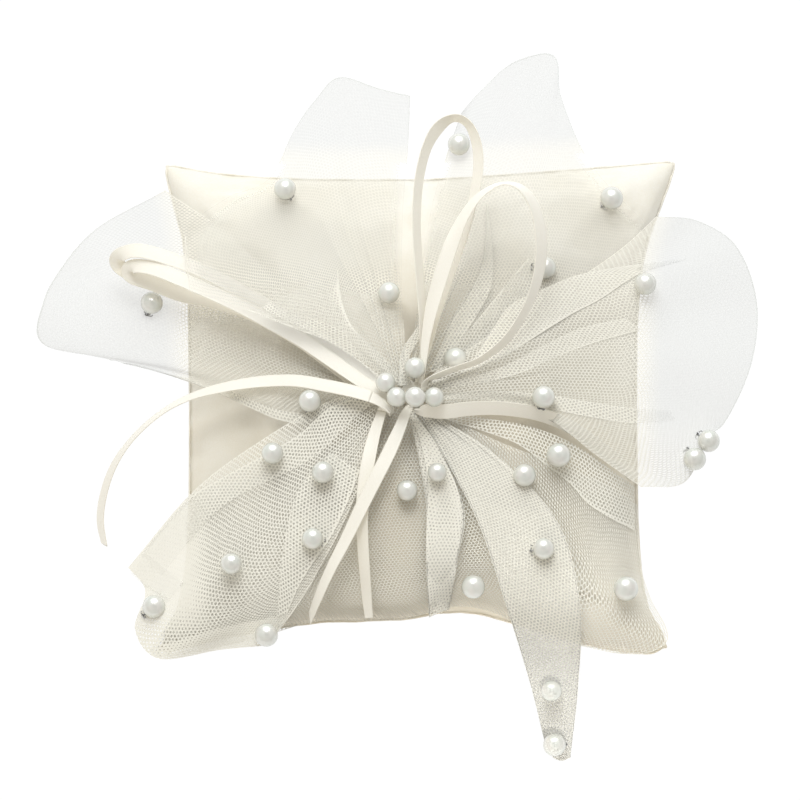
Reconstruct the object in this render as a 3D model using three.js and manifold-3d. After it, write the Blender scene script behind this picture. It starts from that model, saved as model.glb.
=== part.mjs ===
// Ring bearer pillow: a small square satin cushion with a spray of tulle
// petals, satin ribbon loops and tails, and pearl studs, all gathered under a
// ribbon knot at the middle of its upper face.
//
// Units are millimetres. +Z is up, +Y points to the far side of the pillow and
// +X to its right side. The origin is the middle of the flat area that the
// pillow rests on, at the height of the table.
import * as THREE from 'three';
import * as BufferGeometryUtils from 'three/addons/utils/BufferGeometryUtils.js';
import Module from 'manifold-3d';

const wasm = await Module();
wasm.setup();

// ---------------------------------------------------------------- dimensions
const SEAM_Z = 30.0;        // height of the perimeter seam
const DOME_UP = 31.0;       // crown of the front panel above the seam
const DOME_DOWN = 38.0;     // bulge of the back panel before the table flattens it
const DIMPLE = 5.0;         // depth that the stitched gather pulls into the front
const DIMPLE_R = 22.0;      // how wide that dimple is
const SEAM_GAP = 0.6;       // between the two panels' turned edges
const PANEL_GRID = 12;      // facets across each panel
const TULLE_T = 0.6;        // thickness the netting is given as a solid
const RIBBON_W = 6.0;       // satin ribbon, 1/4 in wide
const RIBBON_T = 0.5;
const GATHER = [-2.0, -6.0]; // plan position of the gathered centre
const STUD_POST_R = 0.8;
const STUD_BACK_R = 2.2;    // four-claw back behind the netting
const CLEAR = 0.35;         // gap kept between touching pieces

// ----------------------------------------------------------------- materials
const material = (color, roughness, metalness = 0, extra = {}) =>
  new THREE.MeshStandardMaterial({ color, roughness, metalness, ...extra });
const satin = () => material(0xf1ebdc, 0.42);
const filling = () => material(0xfbfaf6, 0.95);
const netting = () => material(0xf6f6f4, 0.7, 0, { transparent: true, opacity: 0.5 });
const ribbonSatin = () => material(0xf4efdf, 0.3);
const pearlCoat = () => material(0xf0efed, 0.18);
const threadMat = () => material(0xf3eee2, 0.6);

const assembly = new THREE.Group();
assembly.name = 'ring_bearer_pillow';
function add(name, geometry, mat) {
  const mesh = new THREE.Mesh(geometry, mat);
  mesh.name = name;
  assembly.add(mesh);
  return mesh;
}

// ------------------------------------------------------------ pillow outline
// (a, b) run from -1 to 1 across the square. The sides pull in between the
// corners, so the corners stand out as small ears.
function outline(a, b) {
  const xl = -(90.4 + (b > 0 ? 10.0 : 13.6) * Math.abs(b) ** 5);
  const xr = 88.0 + (b > 0 ? 14.5 * Math.abs(b) ** 5 : 12.8 * Math.abs(b) ** 4);
  const yt = 96.0 + (a < 0 ? 7.0 * Math.abs(a) ** 4 : 8.0 * Math.abs(a) ** 1.2);
  const yb = -(89.0 + 17.0 * Math.abs(a) ** 1.7);
  return [xl + (xr - xl) * (a + 1) / 2, yb + (yt - yb) * (b + 1) / 2];
}
const crown = (a, b) => Math.sqrt(Math.max(0, (1 - a * a) * (1 - b * b)));
function invOutline(x, y) {
  let a = x / 90, b = y / 92;
  for (let k = 0; k < 12; k++) {
    a = Math.max(-1.3, Math.min(1.3, a)); b = Math.max(-1.3, Math.min(1.3, b));
    const [px, py] = outline(a, b);
    a += (x - px) / 92; b += (y - py) / 96;
  }
  return [a, b];
}
const dimple = (x, y) =>
  DIMPLE * Math.exp(-((x - GATHER[0]) ** 2 + (y - GATHER[1]) ** 2) / (2 * DIMPLE_R ** 2));
// height of the front panel's outer face over (x, y), or null beside the pillow
function frontHeight(x, y) {
  const [a, b] = invOutline(x, y);
  if (Math.abs(a) >= 1 || Math.abs(b) >= 1) return null;
  const c = crown(a, b);
  return SEAM_Z + SEAM_GAP / 2 + (DOME_UP - dimple(x, y)) * c;
}

// -------------------------------------------------------------- mesh helpers
function fromLists(positions, triangles) {
  const g = new THREE.BufferGeometry();
  g.setAttribute('position', new THREE.Float32BufferAttribute(positions.flat(), 3));
  g.setIndex(triangles.flat());
  return g;
}
// A closed body between two grids of points that share rows and columns.
function slab(top, bottom) {
  const nr = top.length, nc = top[0].length, pos = [], tri = [];
  for (const grid of [top, bottom]) for (const row of grid) for (const p of row) pos.push(p);
  const T = (i, j) => i * nc + j, B = (i, j) => nr * nc + i * nc + j;
  for (let i = 0; i < nr - 1; i++) for (let j = 0; j < nc - 1; j++) {
    tri.push([T(i, j), T(i + 1, j), T(i + 1, j + 1)], [T(i, j), T(i + 1, j + 1), T(i, j + 1)]);
    tri.push([B(i, j), B(i + 1, j + 1), B(i + 1, j)], [B(i, j), B(i, j + 1), B(i + 1, j + 1)]);
  }
  const edge = [];
  for (let i = 0; i < nr - 1; i++) edge.push([i, 0]);
  for (let j = 0; j < nc - 1; j++) edge.push([nr - 1, j]);
  for (let i = nr - 1; i > 0; i--) edge.push([i, nc - 1]);
  for (let j = nc - 1; j > 0; j--) edge.push([0, j]);
  edge.forEach(([i, j], k) => {
    const [m, n] = edge[(k + 1) % edge.length];
    tri.push([T(i, j), B(m, n), T(m, n)], [T(i, j), B(i, j), B(m, n)]);
  });
  let g = fromLists(pos, tri);
  if (volume(g) < 0) g = fromLists(pos, tri.map(([a, b, c]) => [a, c, b]));
  return g;
}
function volume(g) {
  const p = g.attributes.position, id = g.index; let v = 0;
  const A = new THREE.Vector3(), B = new THREE.Vector3(), C = new THREE.Vector3();
  for (let k = 0; k < id.count; k += 3) {
    A.fromBufferAttribute(p, id.getX(k)); B.fromBufferAttribute(p, id.getX(k + 1)); C.fromBufferAttribute(p, id.getX(k + 2));
    v += A.dot(B.cross(C)) / 6;
  }
  return v;
}
function spline(points, t) {
  const m = points.length, s = t * (m - 1), i = Math.min(Math.floor(s), m - 2), f = s - i;
  const p1 = points[i], p2 = points[i + 1];
  const p0 = i > 0 ? points[i - 1] : p1.map((c, k) => 2 * c - p2[k]);
  const p3 = i + 2 < m ? points[i + 2] : p2.map((c, k) => 2 * c - p1[k]);
  return p1.map((_, k) => 0.5 * (2 * p1[k] + (p2[k] - p0[k]) * f
    + (2 * p0[k] - 5 * p1[k] + 4 * p2[k] - p3[k]) * f * f
    + (3 * p1[k] - p0[k] - 3 * p2[k] + p3[k]) * f ** 3));
}

// ------------------------------------------------------------------- cushion
function panelGrids(scaleOut, kOut, scaleIn, kIn, up) {
  const n = PANEL_GRID, out = [], inn = [];
  const at = (i, j, s, k, floor) => {
    const a = Math.sin((i / n - 0.5) * Math.PI), b = Math.sin((j / n - 0.5) * Math.PI);
    const [x0, y0] = outline(a, b); const x = x0 * s, y = y0 * s, c = crown(a, b);
    if (up) return [x, y, SEAM_Z + SEAM_GAP / 2 + (DOME_UP * k - dimple(x, y)) * c];
    return [x, y, Math.max(floor, SEAM_Z - SEAM_GAP / 2 - DOME_DOWN * k * c)];
  };
  for (let i = 0; i <= n; i++) {
    out.push([]); inn.push([]);
    for (let j = 0; j <= n; j++) {
      out[i].push(at(i, j, scaleOut, kOut, 0));
      inn[i].push(at(i, j, scaleIn, kIn, 0.9));
    }
  }
  return [out, inn];
}
// front panel: crowned satin, its rim turned in at the seam
{
  const [out, inn] = panelGrids(1, 1, 0.982, 0.955, true);
  add('pillow_front_panel', slab(out, inn), satin());
}
// back panel: the same cloth, flattened where it rests on the table
{
  const [out, inn] = panelGrids(1, 1, 0.982, 0.955, false);
  add('pillow_back_panel', slab(out, inn), satin());
}
// the polyester fibre filling, a soft lens that fills the cover
{
  const n = PANEL_GRID, top = [], bottom = [];
  for (let i = 0; i <= n; i++) {
    top.push([]); bottom.push([]);
    for (let j = 0; j <= n; j++) {
      const a = Math.sin((i / n - 0.5) * Math.PI), b = Math.sin((j / n - 0.5) * Math.PI);
      const [x0, y0] = outline(a, b); const x = x0 * 0.94, y = y0 * 0.94, c = crown(a, b);
      top[i].push([x, y, SEAM_Z + 0.8 + (DOME_UP * 0.87 - dimple(x, y)) * c]);
      bottom[i].push([x, y, Math.max(2.0, SEAM_Z - 0.8 - DOME_DOWN * 0.87 * c)]);
    }
  }
  add('fibre_filling', slab(top, bottom), filling());
}


// -------------------------------------------------------------- pearl studs
// Each stud is a faux pearl in front of the netting, a post through it and a
// four-claw metal back behind it. [name, pearl diameter, pearl centre, axis
// from the back towards the pearl]
const STUDS = [
  ['pearl_stud_01', 8.8, [-52.4, 82.04, 57.21], [-0.357, 0.372, 0.857]],
  ['pearl_stud_02', 9.2, [78.4, 80.28, 51.53], [0.621, 0.419, 0.662]],
  ['pearl_stud_03', 9, [17.2, 102.77, 52.88], [-0.14, -0.061, 0.988]],
  ['pearl_stud_04', 9, [51.6, 47.95, 58.5], [0.912, -0.14, 0.385]],
  ['pearl_stud_05', 9, [91.6, 41.06, 58.7], [-0, 0.085, 0.996]],
  ['pearl_stud_06', 9, [-105.6, 35.35, 52.18], [0.281, 0.634, 0.721]],
  ['pearl_stud_07', 8.6, [-10.8, 32.04, 72.96], [-0, -0.054, 0.999]],
  ['pearl_stud_08', 9.2, [15.6, 5.74, 68.01], [-0.759, -0.017, 0.651]],
  ['pearl_stud_09', 9.2, [50.8, -11.15, 70], [0.138, 0.495, 0.858]],
  ['pearl_stud_10', 9.8, [56.8, -32.68, 61.32], [-0, -0.084, 0.997]],
  ['pearl_stud_11', 9.2, [43.2, -41.04, 60.9], [0.69, 0.186, 0.7]],
  ['pearl_stud_12', 9, [-42.4, -12.03, 67.73], [0.14, 0.333, 0.933]],
  ['pearl_stud_13', 8.6, [-57.2, -33.31, 65.39], [-0, -0.054, 0.999]],
  ['pearl_stud_14', 8.8, [-37.2, -41.67, 66.12], [-0, -0.059, 0.998]],
  ['pearl_stud_15', 8.4, [-3.6, -48.19, 62.99], [-0, -0.048, 0.999]],
  ['pearl_stud_16', 7.6, [8.4, -41.97, 66.96], [-0, -0.023, 1]],
  ['pearl_stud_17', 8.6, [-41.2, -67.3, 59.35], [-0.8, 0.014, 0.6]],
  ['pearl_stud_18', 8.6, [-73.6, -76.69, 55.91], [-0.218, 0.032, 0.975]],
  ['pearl_stud_19', 9.4, [-104.4, -89.36, 40.43], [0.714, 0.434, 0.549]],
  ['pearl_stud_20', 9.4, [-59.6, -102.44, 43.62], [-0, -0.003, 1]],
  ['pearl_stud_21', 9.4, [22.8, -84.2, 49.67], [-0, -0.074, 0.997]],
  ['pearl_stud_22', 9.8, [83.6, -84.15, 47.18], [-0, -0.084, 0.997]],
  ['pearl_stud_23', 8.6, [50.8, -70.65, 56.86], [0.919, 0.007, 0.394]],
  ['pearl_stud_24', 8.4, [54, -119.09, 23.9], [-0, -0.048, 0.999]],
  ['pearl_stud_25', 9.2, [55.2, -137.64, 11.68], [-0.69, -0.311, 0.654]],
  ['pearl_stud_26', 9.2, [111.2, -29.32, 47.41], [0.552, -0.774, 0.311]],
  ['pearl_stud_27', 9, [116.8, -21.57, 47.15], [0.772, -0.6, 0.211]],
];
// the five pearls sewn in a cluster over the knot: [name, diameter, centre]
const CLUSTER = [
  ['cluster_pearl_middle', 8.4, [-0.4, -14.87, 80.2]],
  ['cluster_pearl_left', 8, [-7.8, -13.41, 76.2]],
  ['cluster_pearl_top', 8.6, [-0.4, -0.85, 75.6]],
  ['cluster_pearl_upper_left', 8, [-12.2, -6.87, 75.2]],
  ['cluster_pearl_right', 8, [7.2, -12.75, 74.4]],
];

function studGeometry(dia, segments, grow = 0) {
  const r = dia / 2 + grow, post = STUD_POST_R + grow, back = STUD_BACK_R + grow;
  const join = Math.acos(Math.min(0.9, post / r));           // where the post leaves the pearl
  const pts = [new THREE.Vector2(0, -(dia / 2 + 1.5 + grow)), new THREE.Vector2(back, -(dia / 2 + 1.4 + grow)),
    new THREE.Vector2(back, -(dia / 2 + 0.8 - grow)), new THREE.Vector2(post, -(dia / 2 + 0.8 - grow))];
  for (const a of [-join, -0.6, 0.05, 0.75]) pts.push(new THREE.Vector2(r * Math.cos(a), r * Math.sin(a)));
  pts.push(new THREE.Vector2(0, r));
  return closeSeams(new THREE.LatheGeometry(pts, segments));
}
function closeSeams(g) {
  g.deleteAttribute('normal'); g.deleteAttribute('uv');
  const m = BufferGeometryUtils.mergeVertices(g, 1e-3);
  // drop the triangles that collapse on the axis
  const id = m.index, keep = [];
  for (let k = 0; k < id.count; k += 3) {
    const a = id.getX(k), b = id.getX(k + 1), c = id.getX(k + 2);
    if (a !== b && b !== c && a !== c) keep.push(a, b, c);
  }
  m.setIndex(keep);
  if (volume(m) < 0) { for (let k = 0; k < keep.length; k += 3) [keep[k + 1], keep[k + 2]] = [keep[k + 2], keep[k + 1]]; m.setIndex(keep); }
  return m;
}
function aim(g, centre, axis) {
  const q = new THREE.Quaternion().setFromUnitVectors(new THREE.Vector3(0, 1, 0), new THREE.Vector3(...axis).normalize());
  g.applyQuaternion(q); g.translate(...centre);
  return g;
}
const toSolid = (g) => new wasm.Manifold(new wasm.Mesh({ numProp: 3,
  vertProperties: new Float32Array(g.attributes.position.array), triVerts: new Uint32Array(g.index.array) }));
function fromSolid(s) {
  const m = s.getMesh(), pos = [];
  for (let k = 0; k < m.vertProperties.length; k += m.numProp) pos.push(m.vertProperties[k], m.vertProperties[k + 1], m.vertProperties[k + 2]);
  const g = new THREE.BufferGeometry();
  g.setAttribute('position', new THREE.Float32BufferAttribute(pos, 3));
  g.setIndex(Array.from(m.triVerts));
  return closeSeams(g);
}
const cutters = [];
for (const [name, dia, centre, axis] of STUDS) {
  add(name, aim(studGeometry(dia, 7), centre, axis), pearlCoat());
  const c = aim(studGeometry(dia, 7, CLEAR), centre, axis); c.computeBoundingBox();
  cutters.push({ box: c.boundingBox, solid: toSolid(c) });
}
for (const [name, dia, centre] of CLUSTER) {
  add(name, aim(closeSeams(new THREE.SphereGeometry(dia / 2, 9, 7)), centre, [0, 1, 0]), pearlCoat());
  const c = aim(closeSeams(new THREE.SphereGeometry(dia / 2 + CLEAR, 9, 7)), centre, [0, 1, 0]); c.computeBoundingBox();
  cutters.push({ box: c.boundingBox, solid: toSolid(c) });
}


// ------------------------------------------------------------- tulle netting
// Each petal is cut from netting, gathered to a point under the knot and
// fanned out. It is held by guide lines that run from the gather to the hem,
// one after another round the fan: [x, y, z] points in mm.
const PETALS = {
  tulle_left_petal: { rows: 8, columns: 12, guides: [
    [[-9.6, -3.4, 64], [-30.4, 13.1, 64.3], [-52.4, 38.2, 59.4], [-76.4, 66.7, 49], [-100.4, 85.3, 47.1]],
    [[-10.8, -4.5, 64.6], [-33.6, 10.2, 64], [-60.4, 33.1, 58.2], [-94.4, 59.4, 48.2], [-126.4, 70.8, 44.9]],
    [[-11.6, -5.1, 64], [-36, 6.6, 64.4], [-67.2, 25.1, 58.1], [-106.4, 47.2, 48.8], [-142, 53.5, 43.3]],
    [[-12.4, -6.6, 64.6], [-37.6, 1.7, 64], [-71.2, 15.6, 57.4], [-110.4, 29.6, 48.1], [-149.2, 39, 42.1]],
    [[-12.4, -7.7, 64], [-37.6, -4, 64.4], [-69.6, 4.2, 59.3], [-108.4, 13.2, 48.7], [-149.2, 22.5, 39.5]],
    [[-12, -9, 64.2], [-34.4, -11, 63.6], [-61.6, -7.6, 61.4], [-92.4, 5, 50], [-120, 13.4, 44.5]],
    [[-11.6, -10.1, 63.6], [-27.2, -14.9, 62.8], [-44.4, -19.9, 62.4], [-66.4, -11.1, 58.2], [-90.4, 3.5, 50.7]],
  ] },
  tulle_upper_left_petal: { rows: 8, columns: 14, guides: [
    [[-10, -4.7, 71], [-30.4, 8.7, 74], [-50.4, 15.4, 78.8], [-70.4, 23.2, 79.7], [-90.4, 31.8, 74.9]],
    [[-9.2, -4.2, 72], [-28.4, 14.7, 75], [-49.6, 29, 77.9], [-71.2, 45, 73.6], [-91.6, 58.9, 70.4]],
    [[-8.4, -3, 71], [-26, 21.9, 74], [-45.2, 45.9, 71.3], [-63.2, 66.2, 62.2], [-76.4, 77.7, 56.3]],
    [[-7.6, -2.2, 71], [-23.6, 28.5, 71], [-39.2, 57.9, 63.9], [-50.4, 78.7, 53.6], [-59.2, 89.6, 49.4]],
    [[-6.8, -0.9, 70], [-20.8, 31.8, 69], [-33.6, 65, 58.5], [-43.6, 94.1, 48.7], [-49.2, 110, 47]],
    [[-6, -0.9, 71], [-17.2, 33.4, 68], [-27.2, 70.1, 56.1], [-35.6, 102.4, 49.1], [-40.8, 124.4, 44.9]],
    [[-5.2, -0.1, 70], [-14, 35.5, 67], [-20.8, 73.4, 54.1], [-26.4, 107.5, 46.9], [-31.6, 134.1, 45.2]],
    [[-4.4, -0.4, 71], [-10, 36.3, 67], [-12.8, 73.7, 55.5], [-14, 105.8, 49.3], [-17.2, 130.4, 44.8]],
    [[-3.6, -0.1, 70], [-5.6, 35.8, 66], [-5.2, 73.1, 55], [-3.2, 102.6, 48.6], [-2.4, 125.3, 48.4]],
  ] },
  tulle_upper_right_petal: { rows: 8, columns: 11, guides: [
    [[-2, 2.2, 66], [1.2, 35.8, 66], [5.6, 71.6, 55.4], [11.6, 97.4, 49], [18, 117.4, 49]],
    [[-1.2, 1.9, 67], [4.8, 36.2, 65], [12.8, 71.4, 56.1], [21.2, 101.8, 48.5], [28.4, 131, 45.5]],
    [[0, 2.2, 66], [9.6, 33.7, 66], [21.6, 72.1, 54.1], [33.6, 106, 48.7], [41.6, 142.6, 44]],
    [[1.2, 1.4, 67], [15.6, 32, 65], [31.6, 67.8, 54.2], [45.6, 104.3, 47.5], [55.6, 143.3, 44.5]],
    [[2.4, 1.4, 66], [23.6, 27.5, 65.5], [43.6, 61.2, 54.8], [56, 89.1, 48.4], [58.8, 124.3, 45.1]],
    [[3.6, 0.2, 67], [29.6, 22.7, 64.8], [52.8, 51.9, 54.8], [67.2, 75.1, 49.4], [70.4, 95.6, 48]],
    [[4.4, -0.3, 66], [32, 19.3, 64.6], [58.4, 43.9, 55.7], [78.4, 65.5, 48.7], [88, 78, 47.2]],
  ] },
  tulle_right_petal: { rows: 8, columns: 14, guides: [
    [[5.6, -1.4, 67.8], [33.6, 18.8, 68.4], [61.6, 41, 59], [81.6, 57.8, 52.6], [96, 72.8, 49.9]],
    [[6.4, -3.1, 68.8], [37.6, 14.3, 68], [69.6, 39.1, 57], [93.6, 56.2, 51.1], [113.6, 72.3, 46.5]],
    [[6.8, -4.4, 67.8], [39.6, 9.4, 68.6], [73.6, 30.4, 57.7], [101.6, 47.4, 51.8], [128, 61.5, 46.8]],
    [[7.2, -6, 68.8], [41.6, 3.2, 68], [77.6, 20.2, 56.3], [109.6, 32.8, 48.7], [136.4, 38.4, 45]],
    [[7.2, -7.4, 67.8], [41.6, -2.6, 68.6], [77.6, 8.2, 57.7], [109.6, 13.9, 50.2], [134, 11.3, 46.8]],
    [[7.2, -9.4, 68.6], [41.6, -7.9, 68], [77.6, -5.9, 57.8], [105.6, -5.1, 49.7], [124, -11.8, 44.9]],
    [[6.8, -10.4, 67.8], [38.4, -11.2, 67.8], [69.6, -15.4, 60.7], [93.6, -21.5, 51.8], [116, -20.2, 44.6]],
    [[6.4, -11.8, 68.4], [33.6, -13.2, 67.4], [57.6, -20.1, 64.1], [81.6, -31.8, 53.1], [107.2, -37.9, 44.1]],
    [[6, -12.9, 67.8], [29.6, -14.5, 67.4], [51.6, -18.6, 65.9], [71.6, -31.3, 57.4], [89.6, -42, 49.5]],
  ] },
  tulle_lower_skirt: { rows: 9, columns: 16, guides: [
    [[-10.4, -10.2, 59.3], [-29.6, -25.8, 60], [-50.4, -35.4, 57.1], [-70.4, -40.5, 51.3], [-89.2, -39.2, 36]],
    [[-10, -11.1, 59.3], [-32, -34.9, 59.3], [-53.6, -53.5, 54.1], [-76.4, -71.7, 45.8], [-94.4, -83.7, 34.2]],
    [[-9.2, -11.9, 59.3], [-29.6, -42.4, 58.7], [-53.2, -68.5, 51], [-80.8, -92, 40.7], [-104.8, -106.1, 32.6]],
    [[-8, -12.3, 59.2], [-25.6, -44.4, 58.6], [-45.6, -70.3, 51.2], [-61.6, -90, 42.1], [-70.4, -101, 32.6]],
    [[-6.4, -13.2, 59.2], [-15.2, -44.5, 58.8], [-26.4, -69.8, 52.1], [-35.2, -86.1, 43.2], [-39.2, -92.1, 33.1]],
    [[-4, -13.6, 59.1], [-4.4, -44.6, 58.9], [-5.6, -69.1, 52.5], [-6.8, -84.4, 43.1], [-7.6, -89.5, 32.6]],
    [[-1.6, -13.6, 59.1], [6.8, -44.6, 58.9], [15.6, -69.1, 52.5], [20.8, -83.9, 44.3], [23.2, -89.7, 36.8]],
    [[0.8, -13.2, 59.2], [17.6, -41.7, 59.1], [36.8, -67.7, 52.4], [51.6, -87.8, 43.1], [60, -97.1, 32.6]],
    [[2.4, -12.3, 59.2], [25.6, -38.3, 59.2], [52.8, -64.5, 51.7], [78.4, -87.4, 42.1], [99.2, -103, 33.4]],
    [[3.6, -11.9, 59.2], [29.6, -33.3, 59.5], [56, -50.3, 53.6], [76, -64.6, 46.1], [90.4, -73.9, 35.4]],
    [[4.8, -11.1, 59.3], [31.6, -25.8, 59.9], [57.6, -34.6, 55], [75.6, -40.6, 47.9], [88.4, -44.8, 36]],
  ] },
  tulle_lower_left_petal: { rows: 8, columns: 9, guides: [
    [[-12.8, -9.3, 65], [-32.4, -10.3, 65.2], [-61.6, -26.7, 62.3], [-88.4, -43.1, 49], [-114.8, -71.9, 38]],
    [[-12, -10.4, 64.4], [-32.4, -19.5, 63.6], [-60.4, -42.2, 58.2], [-85.6, -62.4, 46], [-108, -81.3, 37]],
    [[-11.6, -11.5, 65], [-31.2, -27, 63.4], [-57.6, -56.6, 56.9], [-84.4, -83.1, 47.8], [-112, -96.7, 36]],
    [[-11.2, -12, 64.2], [-28.4, -33.3, 63.1], [-52.4, -64.8, 56], [-76.4, -93.1, 46], [-102.4, -109.2, 36.5]],
    [[-10.4, -12.6, 64.6], [-25.6, -38.7, 62.7], [-44.4, -69, 55.7], [-63.2, -93.4, 44.4], [-77.6, -105.6, 37]],
    [[-9.6, -13.2, 64], [-21.6, -43.7, 62.3], [-32.4, -67.3, 56.9], [-46.4, -89, 46.6], [-59.2, -104, 37.5]],
  ] },
  tulle_folded_strip: { rows: 9, columns: 3, guides: [
    [[-2.8, -15, 61.8], [0.8, -33.2, 62.6], [4, -53.6, 60.3], [4, -74.7, 53.9], [5.2, -92.5, 38.5]],
    [[-1.6, -15.3, 62.6], [5.6, -33.5, 63.5], [11.6, -53.9, 61.2], [10.8, -75, 54.8], [9.2, -91.9, 39.2]],
    [[-0.4, -15, 61.8], [9.6, -34, 62.7], [19.2, -55.5, 59.6], [16.4, -74.7, 54], [13.2, -90.8, 38.5]],
  ] },
  tulle_hanging_tail: { rows: 11, columns: 5, guides: [
    [[0.8, -14.8, 61.4], [12, -35.3, 62.7], [25.2, -61.2, 57.9], [35.2, -88.9, 46.2], [45.2, -113.8, 21], [52, -136.5, 4]],
    [[1.6, -14.7, 62.2], [18, -33.6, 63.8], [36, -61.4, 58.3], [46, -89.4, 47.5], [52, -114.3, 22.5], [54.4, -140.2, 4.6]],
    [[2.4, -14, 61.4], [24, -31.9, 62.8], [46, -58.9, 57.3], [56, -89.6, 48.1], [58.8, -114.7, 23.5], [58, -141.7, 4.2]],
    [[3.2, -13.6, 61.6], [30.4, -31.8, 62.5], [56, -58.2, 55.4], [65.2, -89.5, 47.9], [64.8, -114.1, 22], [61.6, -140.4, 4]],
  ] },
};

function petalGrids({ rows, columns, guides }) {
  const mid = [];
  for (let i = 0; i <= rows; i++) {
    const ring = guides.map((g) => spline(g, i / rows));
    mid.push([]);
    for (let j = 0; j <= columns; j++) {
      const p = spline(ring, j / columns);
      const h = frontHeight(p[0], p[1]);
      if (h !== null) p[2] = Math.max(p[2], h + 2.2);
      mid[i].push(p);
    }
  }
  const top = [], bottom = [];
  const d = new THREE.Vector3(), e = new THREE.Vector3();
  for (let i = 0; i <= rows; i++) {
    top.push([]); bottom.push([]);
    for (let j = 0; j <= columns; j++) {
      const a = mid[Math.min(i + 1, rows)][j], b = mid[Math.max(i - 1, 0)][j];
      const c = mid[i][Math.min(j + 1, columns)], f = mid[i][Math.max(j - 1, 0)];
      d.set(a[0] - b[0], a[1] - b[1], a[2] - b[2]); e.set(c[0] - f[0], c[1] - f[1], c[2] - f[2]);
      const n = d.cross(e).normalize(); if (n.z < 0) n.negate();
      const p = mid[i][j], h = TULLE_T / 2;
      top[i].push([p[0] + n.x * h, p[1] + n.y * h, p[2] + n.z * h]);
      bottom[i].push([p[0] - n.x * h, p[1] - n.y * h, p[2] - n.z * h]);
    }
  }
  return [top, bottom];
}
for (const [name, spec] of Object.entries(PETALS)) {
  let g = slab(...petalGrids(spec));
  g.computeBoundingBox();
  let s = toSolid(g);
  for (const c of cutters) if (c.box.intersectsBox(g.boundingBox)) s = s.subtract(c.solid);
  // the holes that the stud posts pass through can free a sliver; the netting is the largest body
  const bodies = s.decompose();
  let best = bodies[0];
  for (const b of bodies) if (b.volume() > best.volume()) best = b;
  add(name, fromSolid(best), netting());
}


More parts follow.
